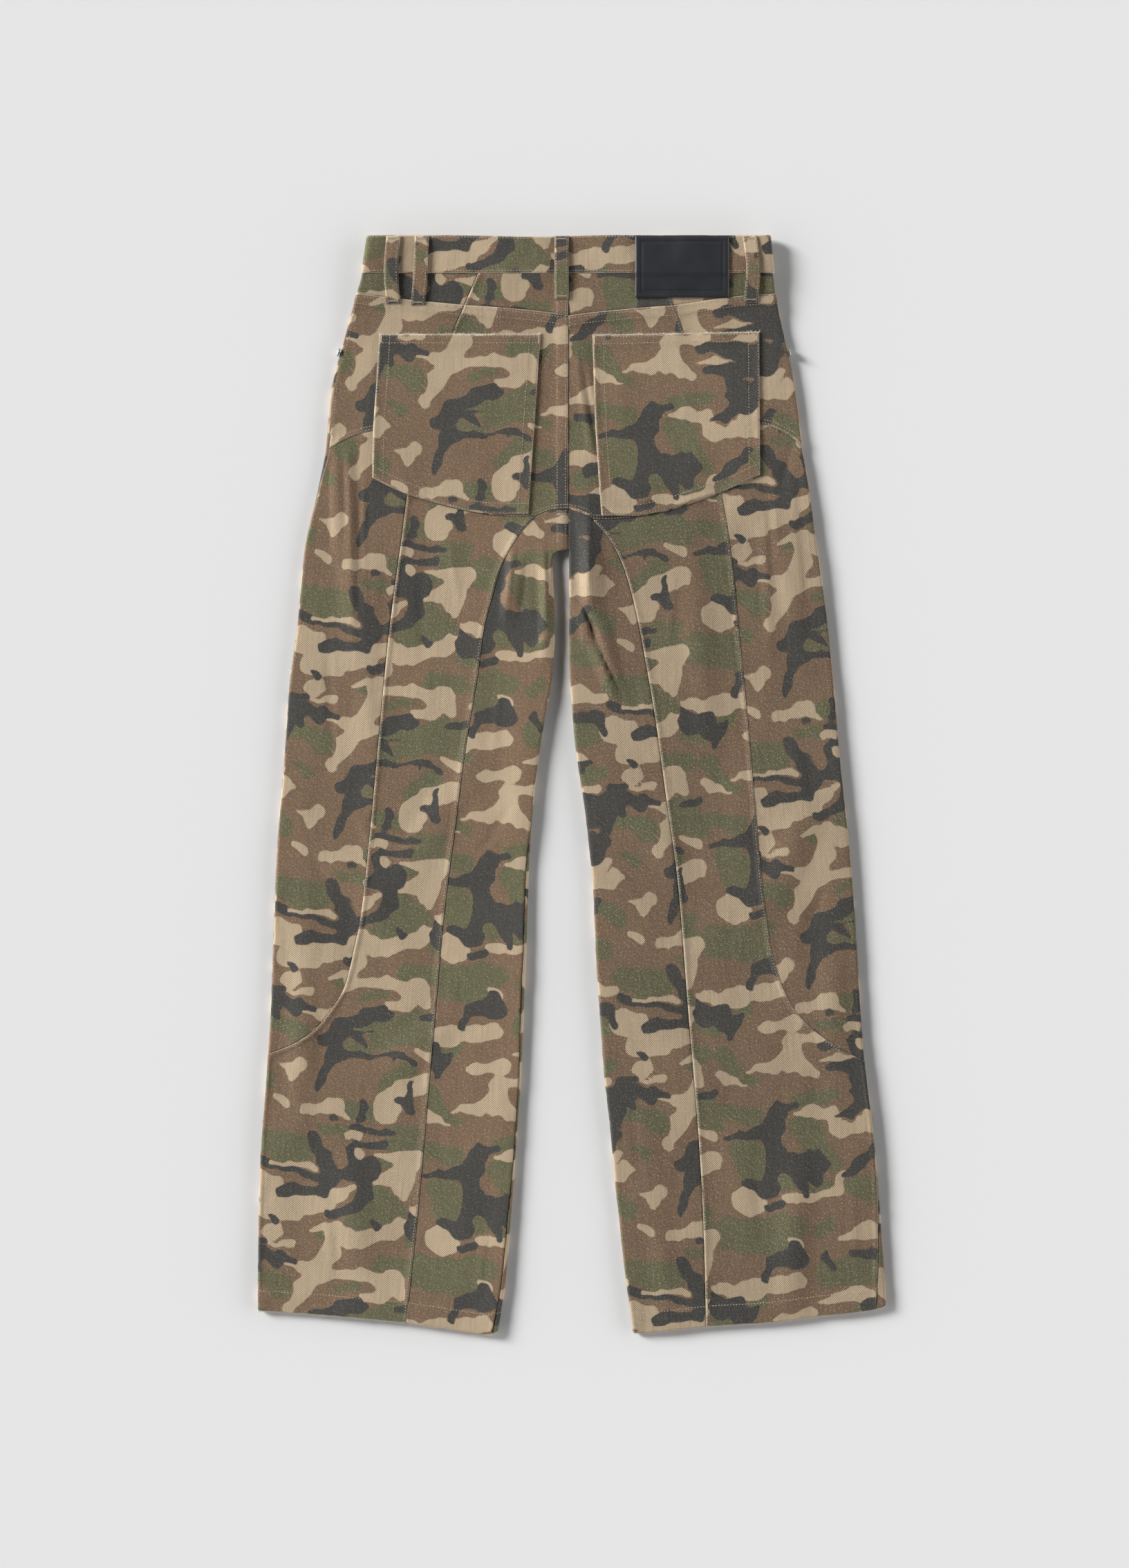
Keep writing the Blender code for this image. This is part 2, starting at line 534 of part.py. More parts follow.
    panel(f"yoke_outer_{label}", side, "back",
          (waist_outer, yoke_outer_seam, outseam_top, diagonal_top), SIDE_COLUMNS, CAMO_GREEN)
    panel(f"yoke_centre_{label}", side, "back",
          (waist_inner, yoke_inner_seam, diagonal_top, centre_yoke), seat_columns, CAMO_BROWN)
    panel(f"seat_outer_{label}", side, "back",
          (yoke_outer_seam, hip, outseam_seat, diagonal), SIDE_COLUMNS, CAMO_BROWN)
    panel(f"seat_centre_{label}", side, "back",
          (yoke_inner_seam, join(seat_bottom, saddle_top), join(diagonal, diagonal_low), centre_seat),
          seat_columns, CAMO_GREEN)
    panel(f"side_panel_{label}", side, "back",
          (hip, knee, outseam_side, join(diagonal_low, princess)), SIDE_COLUMNS, CAMO_TAN)
    panel(f"mid_panel_{label}", side, "back",
          (seat_bottom, hem_mid, join(princess, knee[::-1], outseam_low), saddle), MID_COLUMNS, CAMO_GREEN)
    panel(f"inner_panel_{label}", side, "back",
          (saddle_top, hem_inner_line, saddle, centre_and_inseam), INNER_COLUMNS, CAMO_BROWN)

    # The front: one panel, with the pocket's facing in its mouth
    front_top_downs = np.concatenate([top_downs, seat_downs[1:3]])
    front_side = side_seam(side, front_top_downs, "front")
    mouth_upper = along(MOUTH_UPPER, evenly(len(front_side) - 1))
    lower = dict(out=np.append(MOUTH_LOWER["out"], front_side[-1, 0]),
                 down=np.append(MOUTH_LOWER["down"], front_side[-1, 1]))
    mouth_lower = along(lower, 1 - FACING_COLUMNS)
    waist_facing = front_side[0] + (mouth_upper[0] - front_side[0]) * FACING_COLUMNS[:, None]
    panel(f"pocket_facing_{label}", side, "front",
          (waist_facing, mouth_lower, front_side, mouth_upper), FACING_COLUMNS, CAMO_TAN)
    front_downs = join(seat_downs[2:], hip_downs, low_downs)
    front_outer = join(mouth_upper, mouth_lower[::-1], side_seam(side, front_downs, "front"))
    front_inseam = inseam(side, inseam_downs, "front")
    centre_rows = len(front_outer) - len(front_inseam)
    lift_downs = np.linspace(BAND_HEIGHT, LIFT_ROW_DOWN, 3)
    centre_downs = join(lift_downs, np.linspace(LIFT_ROW_DOWN, CROTCH_DOWN, centre_rows - 1))
    front_centre = np.stack([np.full(centre_rows + 1, centre), centre_downs], axis=1)
    front_inner = join(front_centre, front_inseam)
    waist_front = mouth_upper[0] + (front_centre[0] - mouth_upper[0]) * FRONT_COLUMNS[:, None]
    front_hem = hem_line(side, front_outer[-1], front_inner[-1], FRONT_COLUMNS)
    front_outer[-1] = front_hem[0]
    front_inner[-1] = front_hem[-1]
    panel(f"front_panel_{label}", side, "front",
          (waist_front, front_hem, front_outer, front_inner), FRONT_COLUMNS, CAMO_BROWN)


def build_pocket(label, side):
    """A patch pocket that lies on the seat, made from the seat's upper face moved out."""
    shares = evenly(POCKET_COLUMNS)
    rows = evenly(POCKET_ROWS)
    grid = filled(along(side["pocket_top"], shares), along(side["pocket_bottom"], shares),
                  along(side["pocket_outer"], rows), along(side["pocket_inner"], rows), shares)
    x = side["sign"] * grid[..., 0]
    down = grid[..., 1]
    lining = np.stack([x, TOP_EDGE_Y - down, raised(x, down) + LIE_GAP], axis=-1)
    face = lining + np.array([0, 0, POCKET_WALL])
    cloth(f"back_pocket_{label}", face * MM, lining * MM, CAMO_GREEN)


def build_waistband():
    """One strip round the whole waist, whose ends meet at the front opening."""
    downs = np.array([0, BAND_HEIGHT / 2, BAND_HEIGHT - SEAM_GAP / 2])
    flat_shares = np.array([1, 0.75, 0.5, 0.25])
    arc_shares = np.array([0, 0.25, 0.5, 0.75])
    columns = []
    linings = []
    for label in ("left", "right"):
        side = SIDES[label]
        tangent = outer_edge(side, downs) - EDGE_RADIUS
        front_start = side["centre_out"] + SEAM_GAP / 2
        stations = []
        for share in flat_shares:
            stations.append(("front", tangent + (front_start - tangent) * share))
        for share in arc_shares:
            stations.append(("front", tangent + math.pi * EDGE_RADIUS * share))
        for share in flat_shares[::-1]:
            stations.append(("back", tangent + (side["centre_out"] - tangent) * (share - 0.25)))
        stations.append(("back", np.full(len(downs), side["centre_out"])))
        faces = [place(side, layer, around, downs, -BAND_PROUD) for layer, around in stations]
        backs = [place(side, layer, around, downs, BAND_WALL - BAND_PROUD) for layer, around in stations]
        if label == "right":
            faces = faces[::-1][1:]
            backs = backs[::-1][1:]
        columns += faces
        linings += backs
    cloth("waistband", np.stack(columns, axis=1), np.stack(linings, axis=1), CAMO_BROWN)


def build_patch():
    """The leather patch, which lies on the waistband and down over the seam on to the yoke."""
    downs = np.array([PATCH_DOWN[0], 20, BAND_HEIGHT, BAND_HEIGHT + BAND_STEP, PATCH_DOWN[1]])
    x = np.linspace(*PATCH_OUT, 5)
    grid_x, grid_down = np.meshgrid(x, downs)
    lining = np.stack([grid_x, TOP_EDGE_Y - grid_down, raised(grid_x, grid_down) + LIE_GAP], axis=-1)
    face = lining + np.array([0, 0, PATCH_WALL])
    cloth("leather_patch", face * MM, lining * MM, PATCH_BLACK, 0.5)


def loop_points(loop):
    """Middle line of a belt loop: its x, its distance down and its share of the way."""
    share = evenly(LOOP_ROWS)
    end = loop["end_down"][0]
    down = 1.0 + (end - 1.0) * share
    knots = np.array([0, 0.5, 1.0])
    x = curve(knots, np.array([loop["x_top"][0], loop["x_mid"][0], loop["x_end"][0]]), share)
    return x, down, share


def build_loop(name, loop):
    """A belt loop of the back: a strip sewn down at both ends that bows a little between them."""
    x, down, share = loop_points(loop)
    bow = LOOP_BOW * np.sin(math.pi * share) ** 0.8
    across = np.array([-LOOP_WIDTH / 2, LOOP_WIDTH / 2])
    grid_x = x[:, None] + across
    grid_down = np.repeat(down[:, None], 2, axis=1)
    height = raised(grid_x, grid_down) + LIE_GAP + bow[:, None]
    lining = np.stack([grid_x, TOP_EDGE_Y - grid_down, height], axis=-1)
    face = lining + np.array([0, 0, LOOP_WALL])
    cloth(name, face * MM, lining * MM, CAMO_BROWN)


def build_front_loop(name, loop):
    """A belt loop of the front, under the waistband."""
    x, down, share = loop_points(loop)
    bow = FRONT_LOOP_BOW * np.sin(math.pi * share)
    across = np.array([-LOOP_WIDTH / 2, LOOP_WIDTH / 2])
    grid_x = x[:, None] + across
    grid_down = np.repeat(down[:, None], 2, axis=1)
    step = BAND_PROUD * np.clip((BAND_HEIGHT + BAND_STEP - grid_down) / BAND_STEP, 0, 1)
    height = rest_lift(grid_down) - step - LIE_GAP - bow[:, None]
    lining = np.stack([grid_x, TOP_EDGE_Y - grid_down, height], axis=-1)
    face = lining - np.array([0, 0, LOOP_WALL])
    cloth(name, face * MM, lining * MM, CAMO_BROWN)


def build_shield():
    """The strip behind the front opening."""
    downs = np.linspace(*SHIELD_DOWN, 6)
    x = LEFT["sign"] * LEFT["centre_out"] + np.array([-SHIELD_WIDTH / 2, 0, SHIELD_WIDTH / 2])
    grid_x, grid_down = np.meshgrid(x, downs)
    height = WALL + LIE_GAP + rest_lift(grid_down)
    face = np.stack([grid_x, TOP_EDGE_Y - grid_down, height], axis=-1)
    lining = face + np.array([0, 0, SHIELD_WALL])
    cloth("fly_shield", face * MM, lining * MM, CAMO_CHARCOAL)


def disc(name, radius, thickness, centre, turn, colour):
    """A round stud, narrower at its face."""
    mesh = bpy.data.meshes.new(name)
    body = bmesh.new()
    bmesh.ops.create_cone(body, cap_ends=True, segments=20, radius1=radius, radius2=radius * 0.8, depth=thickness)
    body.transform(Matrix.Scale(MM, 4) @ Matrix.Translation(centre) @ turn)
    body.to_mesh(mesh)
    body.free()
    finish(name, mesh, colour, 0.35, 1.0, 40)


def build_hardware():
    """The waist button under the front, and a rivet at the lower end of each front pocket's mouth."""
    button_z = REST_LIFT - BAND_PROUD - SEAM_GAP - BUTTON_THICKNESS / 2
    disc("waist_button", BUTTON_RADIUS, BUTTON_THICKNESS,
         (BUTTON_FROM_CENTRE, TOP_EDGE_Y - BAND_HEIGHT / 2, button_z), Matrix.Rotation(math.pi, 4, "Y"), BUTTON_METAL)
    for label in ("left", "right"):
        side = SIDES[label]
        above, edge, below = outer_edge(side, RIVET_DOWN + np.array([-RIVET_RADIUS, 0, RIVET_RADIUS]))
        slope = math.atan2(below - above, 2 * RIVET_RADIUS)
        out = edge + LIE_GAP + RIVET_THICKNESS / 2
        height = RIVET_RADIUS + SEAM_GAP
        turn = Matrix.Rotation(side["sign"] * slope, 4, "Z") @ Matrix.Rotation(side["sign"] * math.pi / 2, 4, "Y")
        disc(f"rivet_{label}", RIVET_RADIUS, RIVET_THICKNESS,
             (side["sign"] * out, TOP_EDGE_Y - RIVET_DOWN, height), turn, RIVET_METAL)


def main():
    for item in list(bpy.data.objects):
        bpy.data.objects.remove(item, do_unlink=True)
    parts = bpy.data.collections.new(COLLECTION_NAME)
    bpy.context.scene.collection.children.link(parts)
    for label in ("left", "right"):
        build_side(label, SIDES[label])
        build_pocket(label, SIDES[label])
    build_waistband()
    build_patch()
    for name, loop in LOOPS.items():
        build_loop(name, loop)
    for name, loop in FRONT_LOOPS.items():
        build_front_loop(name, loop)
    build_shield()
    build_hardware()


main()
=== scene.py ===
import math
from itertools import product

import bpy
import numpy as np
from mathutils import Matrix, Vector


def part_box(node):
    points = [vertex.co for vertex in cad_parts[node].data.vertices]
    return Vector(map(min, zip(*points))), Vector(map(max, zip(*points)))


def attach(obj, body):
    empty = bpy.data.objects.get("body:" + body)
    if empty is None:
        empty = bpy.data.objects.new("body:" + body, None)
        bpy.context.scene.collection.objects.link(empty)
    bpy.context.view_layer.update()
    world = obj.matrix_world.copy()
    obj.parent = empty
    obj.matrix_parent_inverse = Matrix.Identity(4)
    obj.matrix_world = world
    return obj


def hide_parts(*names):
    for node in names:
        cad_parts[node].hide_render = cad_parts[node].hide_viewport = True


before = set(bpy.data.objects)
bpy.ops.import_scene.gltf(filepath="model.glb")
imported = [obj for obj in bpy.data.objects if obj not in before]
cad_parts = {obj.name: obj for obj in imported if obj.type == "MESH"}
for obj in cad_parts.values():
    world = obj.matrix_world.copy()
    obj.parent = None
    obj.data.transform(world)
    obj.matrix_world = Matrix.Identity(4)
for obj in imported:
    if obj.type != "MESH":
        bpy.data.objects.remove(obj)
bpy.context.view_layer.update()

# Baggy jeans in camouflage twill, laid flat on their front, with the back side up.
# Lengths are in millimetres until a mesh is made. "out" is the distance from the garment's middle line,
# positive towards that leg's own side, and "down" is the distance below the waistband's top edge.
# +Y points to the waist.

mm = 0.001


def table(columns, *rows):
    return dict(zip(columns.split(), np.array(rows, float).T))


garment = {
    "topEdge": 540.6,
    "bandHeight": 37.4,
    "wall": 1.8,
    "loft": 7.0,
    "edgeRadius": 3.5,
    "seamGap": 0.12,
    "lieGap": 0.5,
    "hemHeight": 21.0,
    "hemExtra": 0.9,
    "crotchDown": 308.7,
    "restLift": 4.3,          # the waist end lies on the button and the front loops
    "liftEnds": 90.0,
    "liftRow": 94.0,
    "rivetDown": 114.0,
    "backStep": 2.4,          # spacing of the points on the side that shows
    "frontStep": 4.2,
    "denser": 8,              # points for each row of the pattern
}
rowsOf = {"diagonal": 4, "hip": 2, "princess": 14, "low": 7, "centreLow": 2, "yoke": 2, "knee": 7}

# One table for each seam or edge. "strip" is how much of the front's cloth shows inside the edge.
left = {
    "label": "left",
    "sign": -1,
    "centreOut": 3.6,
    "outer": table(
        "down out strip",
        (0, 201, 0.5), (37.4, 207, 0.5), (57, 212.5, 0.5), (96, 223.5, 2.5), (129, 232.5, 3.4),
        (157, 238.5, 3.7), (209, 243, 4.4), (243, 249, 2.0), (308, 263.5, 0.5), (385, 271, 0.5),
        (447, 279, 0.5), (520, 284, 0.5), (600, 290.5, 0.5), (680, 294, 0.5), (760, 297, 0.5),
        (820, 300.5, 0.5), (909, 307, 0.5), (1000, 309.3, 0.5), (1060, 309.6, 0.5)),
    "inner": table(
        "down out strip",
        (308.7, 3.6, 0.5), (310, 11.5, 0.5), (313.5, 16.6, 0.5), (321, 18.1, 0.5), (348, 17.2, 0.5),
        (383, 15.8, 0.5), (435, 18.5, 0.5), (466, 24, 0.5), (515, 32, 0.5), (565, 37.6, 1.2),
        (628, 41.7, 4.2), (690, 43.5, 4.5), (752, 46, 4.4), (825, 49.1, 3.4), (897, 53.9, 3.2),
        (970, 59.3, 4.6), (1034, 65, 5.5), (1080, 72.9, 6)),
    "princess": table(
        "down out",
        (255.7, 162.2), (293, 166.8), (333, 172.5), (405, 181.5), (502, 190.6), (586, 198.5), (669, 207.6),
        (714.7, 217.1)),
    "knee": table("out down", (217.1, 714.7), (224, 739.8), (236.8, 761), (253.1, 781), (276.3, 796),
                  (298, 804.4)),
    "diagonalTop": table("out down", (92, 37.4), (105.6, 68.3)),
    "diagonal": table("out down", (105.6, 68.3), (115.8, 92.5), (140.9, 180.2)),
    "diagonalLow": table("out down", (140.9, 180.2), (162.2, 255.7)),
    "saddleTop": table("out down", (36.2, 276), (17.2, 269.5), (3.6, 268.6)),
    "saddle": table(
        "down out",
        (276, 36.2), (291, 49.8), (310, 62), (329, 70.9), (357, 79), (386, 86.5), (435, 93.3), (502, 104.5),
        (586, 115.5), (669, 126), (769, 134.8), (861, 143), (952, 150.8), (1069.6, 163.4)),
    "seatBottom": table("out down", (162.2, 255.7), (125.3, 265.8), (97.4, 271.8), (75, 275), (52.5, 276.6),
                        (36.2, 276)),
    "hip": table("out down", (238.6, 209), (223.2, 200.6), (211, 195.2), (195.3, 191.6), (140.9, 180.2)),
    "yokeOuter": table("out down", (212, 57), (145, 64.6), (110.3, 67.9), (105.6, 68.3)),
    "yokeInner": table("out down", (105.6, 68.3), (68.9, 70.8), (6.3, 77.8), (3.6, 78.9)),
    "hem": table("out down", (72.3, 1078.5), (83.8, 1080.8), (109, 1077.5), (163.4, 1069.6), (241.6, 1062.2),
                 (309.6, 1057.4)),
    "pocketTop": table("out down", (189.3, 96.8), (30.8, 96.8)),
    "pocketOuter": table("out down", (189.3, 96.8), (192.6, 149.6), (195.3, 191.1), (196.3, 238.3)),
    "pocketInner": table("out down", (30.8, 96.8), (43, 273.8)),
    "pocketBottom": table("out down", (196.3, 238.3), (163.6, 253.6), (125.3, 264.9), (97.4, 271.3),
                          (75, 273.6), (43, 273.8)),
}
right = {
    "label": "right",
    "sign": 1,
    "centreOut": -3.6,
    "outer": table(
        "down out strip",
        (0, 195, 0.5), (37.4, 198.5, 0.5), (57, 201, 0.5), (96, 209, 0.5), (129, 216.5, 0.5),
        (169, 222.8, 0.5), (207, 227, 0.5), (243, 233, 0.5), (311, 242.6, 0.5), (380, 252, 0.5),
        (450, 259, 0.5), (520, 265, 0.5), (600, 273.7, 0.5), (680, 280, 0.5), (742, 283.5, 0.5),
        (811, 288.5, 0.5), (879, 297, 1.0), (931, 301.5, 1.6), (983, 305.8, 4.8), (1024, 308.6, 8.4),
        (1060, 309.6, 11)),
    "inner": table(
        "down out strip",
        (308.7, -3.6, 0.5), (366, -3.6, 0.5), (417, -3.5, 0.5), (470, -0.4, 0.5), (507, 3.2, 0.5),
        (554, 10.3, 0.5), (596, 15.5, 0.5), (648, 20.2, 0.5), (711, 23, 0.5), (763, 26.4, 0.5),
        (825, 30.8, 0.5), (872, 36.2, 0.5), (930, 41.3, 0.5), (977, 46.6, 0.5), (1016, 50.8, 0.5),
        (1080, 60, 0.5)),
    "princess": table(
        "down out",
        (253.6, 146.7), (288, 153), (335, 159), (392, 164.6), (479, 173.2), (554, 179.6), (607, 184.1),
        (659, 189.6), (700, 195.7), (737.8, 206.6)),
    "knee": table("out down", (206.6, 737.8), (216.8, 758), (233, 777), (258, 796), (288.6, 812.6)),
    "diagonalTop": table("out down", (88.9, 37.4), (99.8, 68.7)),
    "diagonal": table("out down", (99.8, 68.7), (109.7, 95.5), (128.3, 176)),
    "diagonalLow": table("out down", (128.3, 176), (146.7, 253.6)),
    "saddleTop": table("out down", (20.9, 279.5), (10.5, 272.6), (-3.6, 268.6)),
    "saddle": table(
        "down out",
        (279.5, 20.9), (298, 36.9), (320, 48.6), (343, 56.3), (376, 64.4), (423, 73.3), (475, 82.1),
        (544, 91.6), (638, 104.4), (690, 108.9), (752, 113.6), (822, 119.5), (872, 123.6), (949, 128.4),
        (1025, 131), (1073, 131.8)),
    "seatBottom": table("out down", (146.7, 253.6), (125, 261), (83.5, 273.3), (60.4, 277.3), (35.9, 279.5),
                        (20.9, 279.5)),
    "hip": table("out down", (226.3, 207), (216.8, 198.2), (206.6, 192.4), (195, 187), (184.8, 185),
                 (128.3, 176)),
    "yokeOuter": table("out down", (200.5, 57), (168.5, 59.2), (102.5, 68.3), (99.8, 68.7)),
    "yokeInner": table("out down", (99.8, 68.7), (61.7, 71.4), (0, 78), (-3.6, 78.9)),
    "hem": table("out down", (59.6, 1079.8), (84.2, 1078.5), (131.8, 1073), (188.9, 1069.6), (239.9, 1063.5),
                 (292.2, 1057.4), (309.6, 1053.3)),
    "pocketTop": table("out down", (184.1, 94.8), (20.2, 97.8)),
    "pocketOuter": table("out down", (184.1, 94.8), (184.8, 235.3)),
    "pocketInner": table("out down", (20.2, 97.8), (22.7, 179.5), (25.9, 231.9), (29.1, 275.4)),
    "pocketBottom": table("out down", (184.8, 235.3), (149.4, 250.9), (124.9, 259.1), (83.5, 271.7),
                          (60.4, 275.4), (29.1, 275.4)),
}

# The largest folds are those of the solids: a soft ridge (or a trough, below 0) between two places.
folds = table(
    "x0 down0 x1 down1 width height",
    (18, 291, 20, 372, 13, 4.5), (22, 360, 44, 450, 12, 4.0), (-52, 318, -63, 378, 13, 2.6),
    (-24, 330, -27, 420, 9, 2.4), (-226, 205, -214, 430, 15, 2.0), (-196, 300, -206, 520, 16, 1.4),
    (-100, 520, -170, 640, 24, 1.8), (-230, 610, -150, 720, 26, 2.0), (-262, 640, -268, 900, 20, 1.8),
    (-110, 760, -190, 830, 26, 1.6), (-222, 880, -206, 1040, 24, 1.8), (-96, 900, -104, 1040, 20, 1.4),
    (205, 250, 226, 430, 16, 1.8), (118, 330, 140, 520, 20, 1.6), (60, 560, 130, 660, 24, 1.8),
    (240, 560, 180, 680, 24, 2.0), (252, 660, 262, 880, 20, 1.8), (70, 760, 150, 850, 26, 1.8),
    (226, 900, 214, 1040, 24, 2.0), (86, 920, 92, 1050, 18, 1.4),
)


def curve(knots, values, at):
    # Cubic through the knots; each slope is the harmonic mean of its neighbours', so it never overshoots.
    step = np.diff(knots)
    slope = np.diff(values) / step
    tangent = np.zeros_like(values)
    before = slope[:-1]
    after = slope[1:]
    turning = before * after <= 0
    tangent[1:-1] = np.where(turning, 0.0, 2 * before * after / np.where(turning, 1.0, before + after))
    tangent[0] = slope[0]
    tangent[-1] = slope[-1]
    at = np.clip(at, knots[0], knots[-1])
    i = np.clip(np.searchsorted(knots, at) - 1, 0, len(step) - 1)
    t = (at - knots[i]) / step[i]
    lead = (1 + 2 * t) * (1 - t) ** 2 * values[i] + t * t * (3 - 2 * t) * values[i + 1]
    bend = t * (1 - t) ** 2 * tangent[i] - t * t * (1 - t) * tangent[i + 1]
    return lead + bend * step[i]


def lengthsAlong(line):
    # Running length of a polyline, from 0 at its first point.
    return np.concatenate([[0], np.cumsum(np.linalg.norm(np.diff(line, axis=0), axis=1))])


def readAt(at, run, line):
    # The three values of a line of points or normals at places along its running length.
    return np.stack([np.interp(at, run, line[:, i]) for i in range(3)], axis=1)


def along(seam, shares):
    # Points (out, down) at shares of the length of the smooth curve through a seam's table.
    length = lengthsAlong(np.stack([seam["out"], seam["down"]], axis=1))
    at = np.asarray(shares) * length[-1]
    return np.stack([curve(length, seam["out"], at), curve(length, seam["down"], at)], axis=1)


def atDown(seam, down):
    return np.stack([curve(seam["down"], seam["out"], down), down], axis=1)


def upright(out, downs):
    return np.stack([np.full(len(downs), out), downs], axis=1)


def finer(values):
    # The same run of values with more of them between each two.
    count = len(values) - 1
    return np.interp(np.linspace(0, count, count * garment["denser"] + 1), np.arange(count + 1), values)


def evenly(rows):
    return np.linspace(0, 1, rows * garment["denser"] + 1)


def stretch(start, end, rows):
    return np.linspace(start, end, rows * garment["denser"] + 1)


def join(*parts):
    return np.concatenate([parts[0]] + [part[1:] for part in parts[1:]])


def bump(x):
    # Smooth hump of height 1 at 0 that ends at -1 and 1.
    return np.clip(1 - x * x, 0, None) ** 2


def fading(away, width):
    # Bell curve of a distance: 1 at 0, e^-1 at the width.
    return np.exp(-(away / width) ** 2)


def laidAt(x, down, z):
    return np.stack([x, garment["topEdge"] - down, z], axis=-1)


def noiseAt(x, y, cell, seed, netSize=(64, 64)):
    # Smooth noise from -1 to 1: random values on a net of rows and columns that repeats, blended between
    # its knots by 3t^2 - 2t^3. The cell is one size, or a width and a height.
    high, wide = netSize
    net = np.random.default_rng(seed).uniform(-1, 1, (high, wide))
    cellX, cellY = cell if isinstance(cell, tuple) else (cell, cell)
    gx = np.asarray(x, float) / cellX
    gy = np.asarray(y, float) / cellY
    ix = np.floor(gx).astype(int)
    iy = np.floor(gy).astype(int)
    fx = gx - ix
    fy = gy - iy
    fx = fx * fx * (3 - 2 * fx)
    fy = fy * fy * (3 - 2 * fy)
    top = net[iy % high, ix % wide] * (1 - fx) + net[iy % high, (ix + 1) % wide] * fx
    low = net[(iy + 1) % high, ix % wide] * (1 - fx) + net[(iy + 1) % high, (ix + 1) % wide] * fx
    return top * (1 - fy) + low * fy


# The flattened tube. "around" is measured along the cloth: on the flat of a layer it equals "out", and past
# a side edge it goes on round the roll and over on to the other layer.

def outerEdge(side, down):
    return curve(side["outer"]["down"], side["outer"]["out"], down)


def innerEdge(side, down):
    edge = curve(side["inner"]["down"], side["inner"]["out"], down)
    return np.where(down < garment["crotchDown"], -1e6, edge)


def roll(side, around, down, depth):
    # A straight run, half a turn of the edge's radius, then the straight run back, at each of the two edges.
    edgeRadius = garment["edgeRadius"]
    outer = outerEdge(side, down) - edgeRadius
    inner = innerEdge(side, down) + edgeRadius
    halfTurn = math.pi * edgeRadius
    pastOuter = around - outer
    pastInner = inner - around
    turnOuter = np.clip(pastOuter / edgeRadius, 0, math.pi)
    turnInner = np.clip(pastInner / edgeRadius, 0, math.pi)
    radius = edgeRadius - depth
    out = np.clip(around, inner, outer) + radius * (np.sin(turnOuter) - np.sin(turnInner))
    out = out - np.clip(pastOuter - halfTurn, 0, None) + np.clip(pastInner - halfTurn, 0, None)
    turned = np.cos(turnOuter) * np.cos(turnInner)
    return out, edgeRadius - radius * turned, edgeRadius * (1 - turned)


def restLift(down):
    ends = garment["liftEnds"]
    return garment["restLift"] * np.clip((ends - down) / (ends - garment["bandHeight"]), 0, 1)


def ridges(rows, x, down):
    # Sum of soft ridges: a hump across each line of the table, lower towards the line's ends.
    height = np.zeros(np.shape(x))
    for x0, down0, x1, down1, width, top in zip(*rows.values()):
        run = np.hypot(x1 - x0, down1 - down0)
        share = np.clip(((x - x0) * (x1 - x0) + (down - down0) * (down1 - down0)) / run ** 2, 0, 1)
        away = np.hypot(x - x0 - share * (x1 - x0), down - down0 - share * (down1 - down0)) / width
        height += top * (0.3 + 0.7 * np.sin(math.pi * share)) * bump(away)
    return height


# Smaller creases: near the seat, at the crotch, behind the knees and at the hems.
creases = table(
    "x0 down0 x1 down1 width height",
    (8, 134, 23, 205, 5, -1.1), (14, 120, 26, 190, 4, 0.7), (13, 366, 25, 402, 4.0, -2.0),
    (24, 398, 48, 456, 4.2, -2.4), (-9.4, 270, -9.4, 308, 6.4, 1.0), (8, 311, 12, 316, 3, -0.8),
    (14, 316, 17, 330, 3, 0.9), (-14, 322, -12, 350, 3, 0.8), (-45, 320, -52, 372, 4, -0.9),
    (-225, 210, -222, 300, 5, -1.2), (-236, 230, -234, 330, 4, 0.7), (-212, 215, -208, 330, 6, -0.9),
    (-204, 250, -206, 300, 4, 0.6), (-240, 400, -236, 520, 7, -0.7), (-120, 300, -112, 360, 6, 0.5),
    (-150, 330, -146, 420, 7, -0.5), (-70, 430, -78, 520, 6, 0.6), (-60, 560, -92, 610, 7, -0.7),
    (-215, 560, -190, 610, 8, 0.6), (-262, 600, -240, 640, 7, -0.7), (-120, 700, -96, 740, 7, 0.6),
    (-200, 780, -170, 812, 8, -0.6), (-276, 820, -262, 880, 7, 0.6), (-130, 880, -122, 950, 7, -0.6),
    (-240, 960, -236, 1030, 7, 0.6), (-86, 980, -92, 1040, 6, 0.6), (216, 205, 205, 250, 6, -0.9),
    (196, 230, 204, 330, 6, 0.7), (180, 300, 188, 390, 7, -0.6), (100, 330, 96, 400, 6, 0.6),
    (60, 420, 66, 500, 6, -0.6), (216, 480, 230, 560, 8, 0.6), (120, 560, 150, 600, 8, -0.6),
    (40, 620, 70, 660, 7, 0.7), (250, 640, 228, 690, 7, -0.7), (120, 730, 160, 760, 8, 0.6),
    (230, 800, 258, 840, 7, 0.6), (60, 860, 66, 930, 6, -0.6), (180, 900, 186, 990, 8, -0.6),
    (276, 940, 280, 1020, 7, 0.7), (110, 980, 106, 1040, 7, 0.6),
)

# Folds that lie over to one side: soft on the left of the line and steep on its right.
laps = table(
    "x0 down0 x1 down1 soft steep height",
    (15.5, 262, 17.3, 380, 15, 5.0, 2.6), (8, 362, 19, 402, 12, 4.6, 2.5), (18, 396, 43, 452, 11, 4.6, 2.5),
    (5, 118, 22, 216, 9, 4.2, 1.9), (-28, 306, -25, 380, 9, 4.0, 1.7), (-40, 406, -20, 392, 8, 4.0, 1.2),
    (-58, 304, -66, 376, 6, 6.0, 1.9), (-233, 212, -229, 330, 8, 4.0, 0.9),
    (-220, 214, -213, 420, 8, 4.5, 1.0), (-206, 250, -203, 400, 8, 5.0, 0.7),
    (188, 262, 196, 420, 10, 6.0, 0.7), (216, 230, 226, 360, 9, 5.0, 0.8),
)


